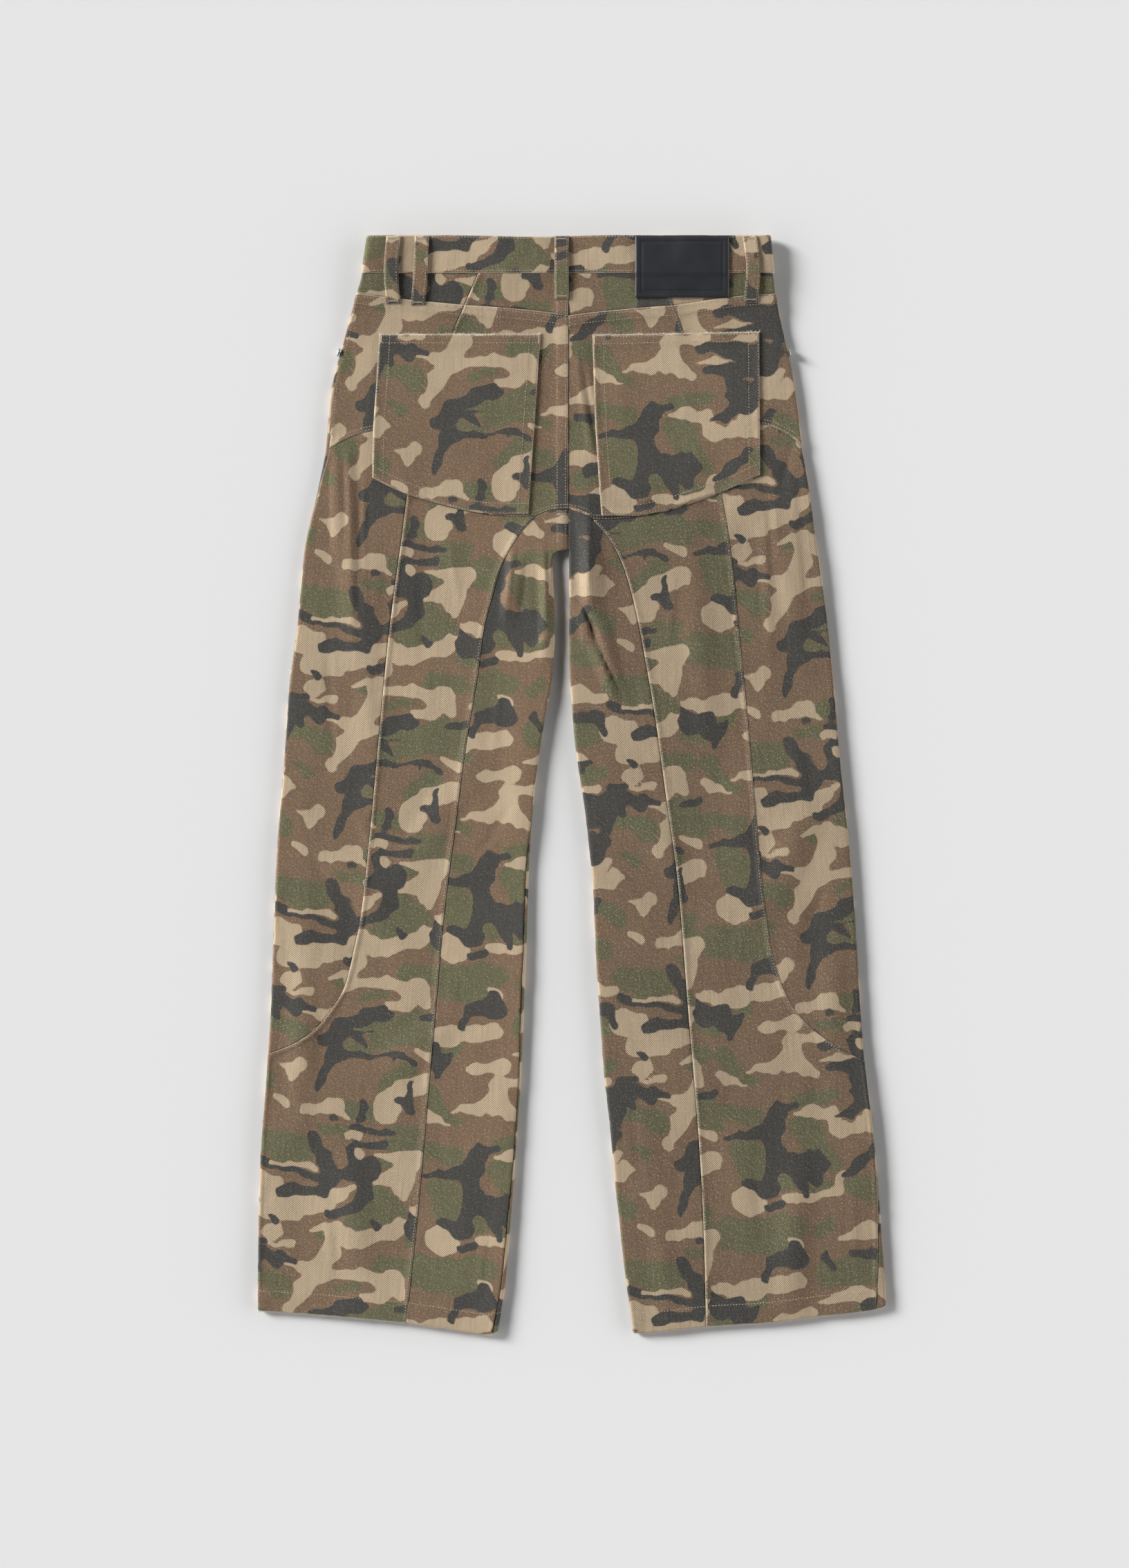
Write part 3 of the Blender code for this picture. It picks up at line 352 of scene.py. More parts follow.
def overlaid(rows, x, down):
    # Height of the one-sided folds: a hump across the line whose width differs on its two sides.
    height = np.zeros(np.shape(x))
    for x0, down0, x1, down1, soft, steep, top in zip(*rows.values()):
        run = np.hypot(x1 - x0, down1 - down0)
        ahead = ((x - x0) * (x1 - x0) + (down - down0) * (down1 - down0)) / run
        aside = ((x - x0) * (down1 - down0) - (down - down0) * (x1 - x0)) / run
        past = np.clip(np.maximum(-ahead, ahead - run), 0, None)
        across = np.hypot(aside / np.where(aside > 0, steep, soft), past / soft)
        share = np.clip(ahead / run, 0, 1)
        height = np.maximum(height, top * (0.25 + 0.75 * np.sin(math.pi * share) ** 0.7) * bump(across))
    return height


waves = {"height": 0.75, "across": 24.0, "downThrough": 80.0, "smallHeight": 0.16, "smallCell": 12.0}


def handled(x, down):
    # Soft waves left by handling: noise drawn out down the leg, and a smaller even one.
    long = noiseAt(x / waves["across"], down / waves["downThrough"], 1.0, 11)
    small = noiseAt(x, down, waves["smallCell"], 12)
    return waves["height"] * long + waves["smallHeight"] * small


def reliefAt(x, down):
    return ridges(folds, x, down) + ridges(creases, x, down) + overlaid(laps, x, down) + handled(x, down)


def place(side, layer, around, down, depth):
    # World position of a point of the cloth: rolled round the edges, on its layer, plus the relief.
    out, height, faceHeight = roll(side, around, down, depth)
    x = side["sign"] * out
    backShare = 1 - faceHeight / garment["loft"]
    if layer == "front":
        backShare = faceHeight / garment["loft"]
        z = height
    else:
        z = garment["loft"] - height
    z = z + restLift(down) + reliefAt(x, down) * backShare
    return laidAt(x, down, z) * mm


def edgeSeam(side, name, down, layer):
    # Where the outer or the inner seam lies, measured round the cloth of a layer.
    inward, edge = (-1, outerEdge(side, down)) if name == "outer" else (1, innerEdge(side, down))
    edgeRadius = garment["edgeRadius"]
    radius = inward * edgeRadius
    strip = curve(side[name]["down"], side[name]["strip"], down)
    rolled = edge + radius - radius * np.arcsin(np.clip(1 - strip / edgeRadius, 0, 1))
    around = np.where(strip < edgeRadius, rolled, edge + inward * strip)
    if layer == "front":
        around = 2 * (edge + radius) - math.pi * radius - around
    return np.stack([around, down], axis=1)


def hemDepth(side, out):
    order = np.argsort(side["hem"]["out"])
    return curve(side["hem"]["out"][order], side["hem"]["down"][order], out)


def hemLine(side, start, end, shares):
    around = start[0] + (end[0] - start[0]) * np.asarray(shares)
    down = np.linspace(start[1], end[1], len(around))
    out = roll(side, around, down, 0.0)[0]
    return np.stack([around, hemDepth(side, out)], axis=1)


def hemEnd(side, edge, inward):
    # How far down a side edge's seam meets the hem, found by trying six times.
    seam = side[edge]
    down = side["hem"]["down"].max()
    for _ in range(6):
        out = curve(seam["down"], seam["out"], down) + inward * curve(seam["down"], seam["strip"], down)
        down = hemDepth(side, out)
    return float(down)


def inset(loop, distance):
    # A closed outline moved inwards by the same distance along each of its edges.
    ahead = np.roll(loop, -1, axis=0) - loop
    ahead = ahead / np.linalg.norm(ahead, axis=1)[:, None]
    behind = np.roll(ahead, 1, axis=0)
    following = np.roll(loop, -1, axis=0)
    turn = np.sign(np.sum(loop[:, 0] * following[:, 1] - following[:, 0] * loop[:, 1]))
    left90 = turn * np.stack([-ahead[:, 1], ahead[:, 0]], axis=1)
    normal = left90 + turn * np.stack([-behind[:, 1], behind[:, 0]], axis=1)
    opening = np.sum(normal * left90, axis=1)
    return loop + normal * (distance / opening)[:, None]


def levelled(outer, inner):
    # A panel's two sides, with points at the same shares of their drops, so that its rows run straight.
    shares = [(line[:, 1] - line[0, 1]) / (line[-1, 1] - line[0, 1]) for line in (outer, inner)]
    both = np.unique(np.round(np.concatenate(shares), 5))
    return [np.stack([np.interp(both, share, line[:, i]) for i in range(2)], axis=1)
            for share, line in zip(shares, (outer, inner))]


def trimmed(top, bottom, outer, inner):
    # The four sides of a panel, drawn back from its seams by half the gap.
    loop = np.concatenate([top[:-1], inner[:-1], bottom[::-1][:-1], outer[::-1][:-1]])
    loop = inset(loop, garment["seamGap"] / 2)
    across = len(top) - 1
    rows = len(inner) - 1
    loop = np.concatenate([loop, loop[:1]])
    return (loop[:across + 1], loop[across + rows:2 * across + rows + 1][::-1],
            loop[2 * across + rows:][::-1], loop[across:across + rows + 1])


def pick(line, at):
    # Points of a polyline at places between its points' numbers.
    i = np.minimum(at.astype(int), len(line) - 2)
    t = (at - i)[:, None]
    return line[i] * (1 - t) + line[i + 1] * t


seamSteps = {
    "sewn": np.array([0.35, 0.5, 0.7, 1.0, 1.5, 2.2]),
    "rolled": np.full(16, 0.8),
}


def spread(first, second, step, startSteps, endSteps):
    # Places along two facing sides, about a step apart and closer where the steps of each end say so.
    run = (lengthsAlong(first) + lengthsAlong(second)) / 2
    total = run[-1]
    start = np.concatenate([[0], np.cumsum(startSteps)])
    end = total - np.concatenate([[0], np.cumsum(endSteps)])[::-1]
    room = end[0] - start[-1]
    if room < step:
        at = np.linspace(0, total, max(6, round(total / 1.5)))
    else:
        at = np.concatenate([start, np.linspace(start[-1], end[0], round(room / step) + 2)[1:-1], end])
    return np.interp(at, run, np.arange(len(run)))


def filled(top, bottom, outer, inner, across, through):
    # Coons patch: rows blended from the two sides, plus columns from top and bottom, less the corners' blend.
    u = (across / (len(top) - 1))[None, :, None]
    v = (through / (len(outer) - 1))[:, None, None]
    top = pick(top, across)
    bottom = pick(bottom, across)
    outer = pick(outer, through)
    inner = pick(inner, through)
    between = (1 - v) * top[None] + v * bottom[None] + (1 - u) * outer[:, None] + u * inner[:, None]
    corners = (1 - v) * ((1 - u) * top[0] + u * top[-1]) + v * ((1 - u) * bottom[0] + u * bottom[-1])
    return between - corners


def awayFrom(grid, line):
    # Distance of every point of a flat grid from a line's nearest point.
    flat = grid.reshape(-1, 2).astype(np.float32)
    line = line.astype(np.float32)
    across = flat[:, 0:1] - line[:, 0]
    through = flat[:, 1:2] - line[:, 1]
    return np.sqrt((across * across + through * through).min(axis=1)).reshape(grid.shape[:2]).astype(float)


# How an edge is sewn: the ridge of folded cloth beside it, how far the edge itself turns down, and its wear.
edgeKinds = {
    "over": {"ridge": 0.7, "width": 4.0, "drop": 0.5, "wear": 0.75},
    "wide": {"ridge": 0.8, "width": 11.0, "drop": 0.5, "wear": 0.8},
    "under": {"ridge": 0.0, "width": 3.0, "drop": 0.45, "wear": 0.3},
    "hem": {"ridge": 0.5, "width": 21.0, "drop": 1.2, "wear": 0.9},
    "mouth": {"ridge": 0.6, "width": 12.0, "drop": 0.7, "wear": 0.9},
}
pucker = {"height": 0.28, "cell": 6.5, "reach": 9.0}


def sewnDetail(grid, edges):
    # Each edge's ridge, level up to its width and then eased off; the edge turned down; puckers beside it.
    height = np.zeros(grid.shape[:2])
    wear = np.zeros(grid.shape[:2])
    nearest = np.full(grid.shape[:2], 1e3)
    lines = {"top": grid[0], "bottom": grid[-1], "outer": grid[:, 0], "inner": grid[:, -1]}
    drop = np.zeros(grid.shape[:2])
    for edge, kind in edges.items():
        if kind == "none":
            continue
        sewing = edgeKinds[kind]
        away = awayFrom(grid, lines[edge])
        level = 0.5 - 0.5 * np.tanh(away - sewing["width"])
        height = np.maximum(height, sewing["ridge"] * level)
        drop = np.maximum(drop, sewing["drop"] * fading(away, 0.55))
        crest = fading(away, 1.3) + 0.4 * fading(away - sewing["width"], 1.0)
        wear = np.maximum(wear, sewing["wear"] * crest)
        nearest = np.minimum(nearest, away)
    gathered = noiseAt(grid[..., 0], grid[..., 1], pucker["cell"], 21) * fading(nearest, pucker["reach"])
    return height - drop + pucker["height"] * gathered, wear, nearest


# The print: layers of tapered strokes on a brown ground, charted and repeated over the cloth.
# "bare" strokes are left out of the charcoal, so that the ground shows in them.
camo = {
    "across": 340.0,
    "through": 288.0,
    "warps": ((26, 22, 2.4), (52, 44, 1.9)),     # cells across and through, and mm
    "blend": 2.3,
    "green": table(
        "x0 y0 x1 y1 r0 r1",
        (5, 33, 38, 42, 9, 8), (31, 48, 36, 50, 6, 5), (131, 14, 158, 16, 8, 9), (113, 76, 150, 68, 14, 18),
        (90, 45, 110, 39, 4, 5), (124, 126, 141, 115, 11, 12), (87, 152, 105, 156, 9, 8),
        (83, 76, 105, 72, 3, 6), (76, 89, 102, 93, 3, 5), (134, 168, 150, 172, 6, 8),
        (10, 68, 22, 74, 4, 6), (62, 174, 96, 178, 6, 5), (178, 18, 188, 33, 9, 8),
        (188, 40, 208, 45, 6, 4), (180, 74, 206, 80, 7, 9), (196, 115, 202, 130, 17, 16),
        (255, 92, 262, 104, 15, 15), (250, 68, 283, 62, 7, 8), (274, 122, 280, 130, 10, 9),
        (232, 142, 236, 150, 9, 8), (258, 153, 274, 150, 5, 6), (300, 152, 326, 160, 9, 11),
        (160, 60, 168, 84, 7, 8), (330, 120, 344, 130, 8, 9), (5, 190, 45, 196, 12, 12),
        (20, 205, 40, 206, 6, 7), (120, 204, 140, 205, 5, 5), (130, 184, 152, 186, 7, 8),
        (175, 195, 225, 200, 18, 16), (225, 186, 240, 190, 10, 11), (124, 232, 132, 240, 9, 12),
        (128, 245, 106, 262, 13, 14), (132, 252, 142, 250, 12, 10), (70, 276, 84, 279, 8, 7),
        (190, 268, 202, 262, 6, 7), (158, 276, 172, 279, 8, 8), (270, 238, 322, 232, 13, 17),
        (296, 280, 330, 276, 9, 8), (262, 196, 272, 190, 6, 8)),
    "tan": table(
        "x0 y0 x1 y1 r0 r1",
        (45, 68, 57, 46, 5.5, 8), (57, 46, 69, 28, 8, 9), (69, 28, 79, 8, 9, 8), (79, 8, 79, -6, 8, 7),
        (68, 23, 37, 22, 5, 3), (81, 29, 115, 27, 4, 6), (115, 27, 146, 31, 6, 9), (146, 31, 152, 44, 8, 5),
        (115, 48, 137, 46, 2, 7), (28, 122, 36, 114, 6, 8), (14, 112, 27, 116, 0.8, 3),
        (42, 158, 74, 150, 5, 6.5), (74, 156, 86, 161, 4, 2), (122, 152, 124, 146, 13, 12),
        (124, 143, 140, 128, 11, 9), (140, 128, 160, 122, 9, 11), (-4, 90, 4, 88, 6, 5),
        (16, 4, 44, 2, 1.5, 3), (150, 88, 166, 96, 2, 6), (10, 146, 24, 150, 2, 5),
        (201, 35, 225, 32, 2, 4.5), (225, 32, 246, 26, 4.5, 9), (246, 26, 246, 8, 8, 8),
        (246, 28, 268, 42, 8, 5), (246, 6, 284, 4, 6, 4), (274, 27, 290, 26, 1.2, 2.6),
        (290, 26, 308, 25, 2.6, 0.8), (172, 36, 180, 42, 4, 5), (180, 42, 199, 47, 4, 2),
        (244, 81, 262, 78, 2, 4), (262, 78, 283, 82, 4.5, 6), (283, 82, 287, 98, 6, 6),
        (287, 96, 320, 92, 7, 8), (320, 92, 338, 96, 7, 5), (318, 84, 334, 75, 3, 5),
        (190, 160, 201, 166, 11, 12), (232, 164, 256, 163, 4, 4), (256, 163, 284, 156, 3.5, 5),
        (284, 156, 290, 141, 5, 4), (306, 8, 330, 2, 2, 5), (14, 211, 58, 212, 2.5, 3),
        (5, 232, 20, 240, 13, 13), (40, 250, 70, 248, 11, 10), (60, 242, 86, 236, 9, 7),
        (14, 258, 46, 262, 8, 5), (88, 181, 97, 178, 4, 5), (100, 196, 101, 197, 5.5, 5.5),
        (95, 229, 99, 227, 4, 3), (116, 199, 135, 196, 2, 4), (135, 196, 156, 196, 4, 9),
        (150, 202, 146, 222, 9, 9), (120, 221, 140, 214, 3, 9), (146, 222, 150, 236, 8, 4),
        (58, 274, 86, 268, 1.5, 5), (86, 268, 96, 280, 5, 8), (96, 280, 114, 280, 8, 7),
        (114, 278, 138, 270, 6, 8), (138, 270, 152, 262, 8, 7), (160, 246, 178, 252, 4, 7),
        (178, 252, 200, 248, 7, 10), (200, 248, 240, 242, 9, 8), (236, 204, 242, 209, 4, 5),
        (216, 282, 250, 276, 3, 8), (284, 204, 312, 198, 3, 8), (312, 198, 336, 204, 8, 4),
        (262, 264, 300, 258, 2, 8), (300, 258, 318, 262, 8, 3), (18, 280, 26, 277, 8, 7)),
    "charcoal": table(
        "x0 y0 x1 y1 r0 r1",
        (1, 14, 31, 15, 5.5, 5.5), (31, 14, 47, 18, 5, 3), (7, 24, 9, 27, 5, 4), (29, 22, 31, 25, 4, 3),
        (1, 3, 14, 3, 3, 2.5), (117, 55, 94, 63, 5.5, 6.5), (94, 63, 72, 76, 6.5, 8),
        (72, 76, 57, 87, 8, 6.5), (72, 76, 68, 104, 8, 6), (68, 104, 55, 135, 5.5, 3),
        (68, 100, 100, 99, 6, 3), (88, 74, 105, 77, 3.5, 2), (87, 81, 98, 89, 4, 2.5),
        (100, 99, 122, 95, 1.8, 2), (122, 95, 135, 97, 2, 1.8), (135, 97, 148, 104, 1.8, 3),
        (127, 96, 127, 102, 1.6, 1.2), (147, 120, 145, 148, 2.5, 4.5), (135, 141, 144, 145, 3.5, 3),
        (100, 146, 98, 160, 3.5, 5), (92, 171, 133, 172, 3.5, 3), (69, 163, 75, 165, 3, 2.5),
        (152, 58, 168, 55, 3, 5), (276, 12, 300, 14, 4, 7), (300, 14, 330, 20, 7, 10),
        (284, 36, 330, 36, 5, 13), (310, 48, 326, 58, 9, 11), (303, 60, 316, 66, 3, 9),
        (322, 68, 305, 78, 9, 5), (305, 78, 285, 85, 4.5, 1), (229, 67, 226, 90, 5, 10),
        (226, 92, 180, 98, 7, 3.5), (226, 73, 247, 72, 5, 3.5), (222, 94, 224, 128, 9, 10),
        (224, 128, 257, 128, 11, 10), (257, 128, 264, 146, 9, 5), (222, 130, 214, 152, 9, 8),
        (192, 146, 220, 152, 4, 8), (244, 134, 252, 160, 8, 4), (262, 116, 268, 132, 6, 8),
        (324, 115, 308, 130, 5, 6), (308, 130, 294, 141, 6, 4), (213, 171, 228, 168, 3.5, 3),
        (53, 184, 66, 202, 4, 6), (66, 202, 74, 220, 6, 7), (74, 220, 69, 236, 7, 6),
        (69, 236, 36, 238, 4.5, 4.5), (36, 238, 26, 241, 6, 4), (66, 222, 30, 217, 4, 3),
        (30, 217, 3, 210, 3, 5), (76, 219, 96, 212, 4, 6), (96, 212, 112, 209, 7, 9),
        (98, 206, 91, 196, 4, 3.5), (91, 196, 98, 187, 3.5, 3.5), (98, 187, 124, 185, 3, 5),
        (106, 212, 112, 234, 8, 7), (112, 234, 100, 248, 6, 5), (100, 248, 76, 258, 4.5, 4.5),
        (112, 212, 120, 216, 7, 3), (214, 222, 240, 220, 6, 9), (213, 228, 208, 242, 4, 3.2),
        (238, 210, 243, 222, 5, 7), (157, 252, 161, 268, 3.5, 9), (176, 262, 184, 262, 6, 5),
        (163, 268, 188, 276, 9, 7), (188, 276, 184, 290, 5, 3), (190, 274, 198, 266, 4, 2.5),
        (296, 218, 330, 222, 4, 7), (330, 222, 338, 236, 6, 3), (268, 222, 276, 232, 5, 3),
        (304, 272, 322, 264, 6, 3), (20, 262, 24, 268, 3, 4), (118, 262, 124, 266, 3, 4)),
    "bare": table(
        "x0 y0 x1 y1 r0 r1",
        (84, 76, 104, 72, 1, 3.4), (77, 89, 100, 93, 1, 3), (196, 116, 202, 128, 14, 13),
        (255, 92, 262, 102, 12, 12), (233, 143, 236, 150, 7, 6), (100, 196, 101, 197, 4.6, 4.6),
        (14, 211, 56, 212, 2, 2.4), (276, 27, 308, 25, 1.6, 0.8), (316, 42, 326, 44, 1, 2.4)),
}


def inkDepth(strokes, x, y):
    # Depth inside the union of tapered strokes, in mm: each stroke's radius less the distance from its line,
    # joined by a soft maximum, k * log(sum(exp(depth / k))), and repeated over the cloth.
    total = np.zeros(np.shape(x))
    width = camo["across"]
    height = camo["through"]
    blend = camo["blend"]
    for x0, y0, x1, y1, r0, r1 in zip(*strokes.values()):
        px = (x - (x0 + x1) / 2 + width / 2) % width - width / 2 + (x1 - x0) / 2
        py = (y - (y0 + y1) / 2 + height / 2) % height - height / 2 + (y1 - y0) / 2
        share = np.clip((px * (x1 - x0) + py * (y1 - y0)) / ((x1 - x0) ** 2 + (y1 - y0) ** 2), 0, 1)
        depth = r0 + (r1 - r0) * share - np.hypot(px - share * (x1 - x0), py - share * (y1 - y0))
        total += np.exp(np.clip(depth / blend, -30, 30))
    return blend * np.log(total + 1e-12)


def printFields(x, y):
    # The three layers' depths at places on the cloth, with the strokes' edges made lobed by a periodic warp.
    wx = x + 0.0
    wy = y + 0.0
    for number, (cellsAcross, cellsThrough, far) in enumerate(camo["warps"]):
        net = (cellsThrough, cellsAcross)
        cell = (camo["across"] / cellsAcross, camo["through"] / cellsThrough)
        wx += far * noiseAt(x, y, cell, 31 + number, net)
        wy += far * noiseAt(x, y, cell, 41 + number, net)
    depths = {ink: inkDepth(camo[ink], wx, wy) for ink in ("green", "tan", "charcoal")}
    depths["charcoal"] = np.minimum(depths["charcoal"], -inkDepth(camo["bare"], wx, wy))
    return depths


# Where each panel was cut from the printed cloth: the garment's place (x, down) shows the print's place
# (across, through), and the panel's grain leans by a few degrees with the leg.
cutPlaces = table(
    "x down across through lean",
    (-200, 45, 30, 200, 2), (-60, 50, 120, 150, 0), (-200, 120, 60, 40, 3), (-100, 150, 130, 10, 0),
    (-254, 570, 31, 117, 4.6), (-184.6, 616, 100, 196, 5), (-60, 600, 250, 60, 2), (-189.3, 96.8, 0, 0, 0),
    (180, 45, 300, 230, -2), (60, 50, 210, 110, 0), (190, 120, 320, 60, -3), (80, 150, 30, 190, 0),
    (216, 342.7, 69, 28, -4.6), (150, 600, 190, 100, -3), (60, 600, 20, 60, -2), (20.2, 97.8, 170, 0, 0),
    (0, 0, 100, 70, 0), (0, 0, 260, 210, 0), (0, 0, 50, 180, 0), (0, 0, 150, 20, 0), (0, 0, 104, 226, 0),
    (0, 0, 200, 90, 0))
cutNames = (
    "yoke_outer_left", "yoke_centre_left", "seat_outer_left", "seat_centre_left",
    "side_panel_left", "mid_panel_left", "inner_panel_left", "back_pocket_left",
    "yoke_outer_right", "yoke_centre_right", "seat_outer_right", "seat_centre_right",
    "side_panel_right", "mid_panel_right", "inner_panel_right", "back_pocket_right",
    "front_panel_left", "front_panel_right", "pocket_facing_left", "pocket_facing_right", "waistband",
    "fly_shield")


def printPlace(node, flat):
    # The flat place turned by the panel's lean about its known point, then moved to that point in the print.
    row = cutNames.index(node) if node in cutNames else 0
    x, down, across, through, lean = (column[row] for column in cutPlaces.values())
    angle = math.radians(lean)
    dx = flat[:, 0] - x
    dy = flat[:, 1] - down
    return (dx * math.cos(angle) + dy * math.sin(angle) + across,
            dy * math.cos(angle) - dx * math.sin(angle) + through)


# Painted light and shade in the cloth's colour: the left leg's inner half is painted lighter and the right
# leg past its long fold darker, standing in for how the light falls on the legs' tilt and for the fold's
# shade.
paintedLightShade = {
    "paintedLight": 0.12,            # painted light on the left leg's inner half, centred on the x that follows
    "paintedLightX": -60.0,
    "paintedLightHalf": 80.0,
    "paintedShade": -0.15,          # painted shade on the right leg past its long fold
    "below": (190.0, 310.0),
    "edge": table("down x soft", (0, 17.5, 3), (380, 18, 3), (450, 32, 6), (560, 34, 12), (1080, 36, 14)),
}


def paintedLightShadeAt(x, down):
    # Painted light and shade, as a factor against 1: a smooth step down from the seat, times each leg's own
    # share, lighter on the left leg's inner half and darker on the right leg past its fold.
    start, end = paintedLightShade["below"]
    legs = np.clip((down - start) / (end - start), 0, 1)
    legs = legs * legs * (3 - 2 * legs)
    edge, soft = (np.interp(down, paintedLightShade["edge"]["down"], paintedLightShade["edge"][key]) for key in ("x", "soft"))
    inner = bump((x - paintedLightShade["paintedLightX"]) / paintedLightShade["paintedLightHalf"])
    past = 0.5 + 0.5 * np.tanh((x - edge) / soft)
    return 1 + legs * (paintedLightShade["paintedLight"] * inner + paintedLightShade["paintedShade"] * past)


grids = {}


def addObject(name, data):
    thing = bpy.data.objects.new(name, data)
    bpy.context.scene.collection.objects.link(thing)
    return thing


def makeMesh(name, points, faces, smoothAngle=55.0):
    # A smooth mesh, with the edges that bend more than the angle kept sharp; an angle of 0 keeps none.
    mesh = bpy.data.meshes.new(name)
    mesh.from_pydata(points.reshape(-1, 3).tolist(), [], faces)
    mesh.shade_smooth()
    if smoothAngle:
        mesh.set_sharp_from_angle(angle=math.radians(smoothAngle))
    return mesh


def addPiece(name, mesh, *materials):
    for material in materials:
        mesh.materials.append(material)
    piece = addObject(name, mesh)
    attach(piece, "root")
    return piece


def setAttribute(mesh, name, values):
    layer = mesh.attributes.new(name, "FLOAT", "POINT")
    layer.data.foreach_set("value", np.asarray(values, np.float32).ravel())


def gridFaces(rows, columns):
    number = np.arange(rows * columns).reshape(rows, columns)
    corners = [number[:-1, :-1], number[1:, :-1], number[1:, 1:], number[:-1, 1:]]
    return np.stack(corners, axis=-1).reshape(-1, 4)


def wallFaces(rows, columns):
    # A face grid, its lining turned over, and a rim between their outlines, all facing the same way out.
    quads = gridFaces(rows, columns)
    count = rows * columns
    number = np.arange(count).reshape(rows, columns)
    rim = np.concatenate([number[:-1, 0], number[-1, :-1], number[:0:-1, -1], number[0, :0:-1]])
    ahead = np.roll(rim, -1)
    edge = np.stack([ahead, rim, rim + count, ahead + count], axis=-1)
    return quads, quads[:, ::-1] + count, edge


def outward(points, faces):
    # Turns all faces over if the volume that they enclose comes out negative.
    flat = points.reshape(-1, 3)
    a, b, c, d = (flat[faces[:, i]] for i in range(4))
    volume = np.sum(a * np.cross(b, c)) + np.sum(a * np.cross(c, d))
    return faces if volume > 0 else faces[:, ::-1]


def closedWall(name, face, lining):
    # The mesh between a face grid and its lining, its faces, and how many of them are on one side.
    quads, backs, rim = wallFaces(*face.shape[:2])
    points = np.concatenate([face.reshape(-1, 3), lining.reshape(-1, 3)])
    faces = outward(points, np.concatenate([quads, backs, rim]))
    return makeMesh(name, points, faces.tolist()), faces, len(quads)


def clothPiece(node, face, lining, cloth, wear):
    # A closed cloth wall from a face grid and a lining grid; cloth holds each point's flat place in mm.
    name = "twill_" + node
    mesh, faces, oneSide = closedWall(name, face, lining)
    flat = cloth.reshape(-1, 2)
    printX, printY = printPlace(node, flat)
    for ink, depth in printFields(printX, printY).items():
        setAttribute(mesh, ink + "Depth", np.tile(depth, 2))
    setAttribute(mesh, "wear", np.tile(wear.ravel(), 2))
    # Each point's painted light and shade, as a factor on its colour.
    setAttribute(mesh, "paintedLightShade", np.tile(paintedLightShadeAt(face[..., 0].ravel() / mm, flat[:, 1]), 2))
    uv = np.tile(np.stack([printX, -printY], axis=1) * mm, (2, 1))
    layer = mesh.uv_layers.new(name="cloth")
    layer.data.foreach_set("uv", uv[faces.ravel()].astype(np.float32).ravel())
    slots = np.zeros(len(faces), np.int32)
    slots[oneSide:2 * oneSide] = 1
    mesh.polygons.foreach_set("material_index", slots)
    piece = addPiece(name, mesh, twill, twillBack)
    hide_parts(node)
    size = flat.max(axis=0) - flat.min(axis=0)
    loop = np.concatenate([cloth[0, :-1], cloth[:-1, -1], cloth[-1, :0:-1], cloth[:0:-1, 0]])
    nextOne = np.roll(loop, -1, axis=0)
    area = abs(np.sum(loop[:, 0] * nextOne[:, 1] - nextOne[:, 0] * loop[:, 1])) / 2
    area = min(area, size[0] * size[1])
    grids[node] = {"face": face, "lining": lining, "cloth": cloth}
    return piece


def panel(name, side, layer, sides, edges):
    # A sewn panel: its four seams filled in flat, then laid on its layer, ridged and puckered at its seams.
    top, bottom, outer, inner = trimmed(*sides[:2], *levelled(*sides[2:]))
    step = garment["backStep"] if layer == "back" else garment["frontStep"]
    ends = {edge: seamSteps["rolled" if edges.get(edge + "Rolled") else "sewn"]
            for edge in ("top", "bottom", "outer", "inner")}
    across = spread(top, bottom, step, ends["outer"], ends["inner"])
    through = spread(outer, inner, step, ends["top"], ends["bottom"])
    grid = filled(top, bottom, outer, inner, across, through)
    kinds = {edge: edges.get(edge, "under") for edge in ("top", "bottom", "outer", "inner")}
    detail, wear, _ = sewnDetail(grid, kinds)
    around = grid[..., 0]
    down = grid[..., 1]
    out = roll(side, around, down, 0.0)[0]
    aboveHem = hemDepth(side, out) - down
    wall = garment["wall"] + garment["hemExtra"] * (aboveHem < garment["hemHeight"])
    if layer == "front":
        detail = np.minimum(detail, 0.5) - 0.8     # room for the stitches above the floor
    face = place(side, layer, around, down, -detail)
    lining = place(side, layer, around, down, wall)
    seenFrom = side["sign"] * (1 if layer == "back" else -1)
    cloth = np.stack([seenFrom * around, down], axis=-1)
    clothPiece(name, face, lining, cloth, wear)


band = {
    "wall": 3.0,
    "proud": 0.8,
    "step": 4.5,
    "dip": 1.5,               # how far the top edge sags, at dipX and over dipHalf to each side
    "dipX": -40.0,
    "dipHalf": 75.0,
    "edgeDrop": 0.7,
    "edgeWidth": 0.6,
    "puckers": 0.3,
    "puckerCell": (7.0, 16.0),
    "wear": 0.8,
}


def raised(x, down):
    # Height of the back's upper face, with the waistband's step.
    step = band["proud"] * np.clip((garment["bandHeight"] + band["step"] - down) / band["step"], 0, 1)
    return garment["loft"] + restLift(down) + reliefAt(x, down) + step


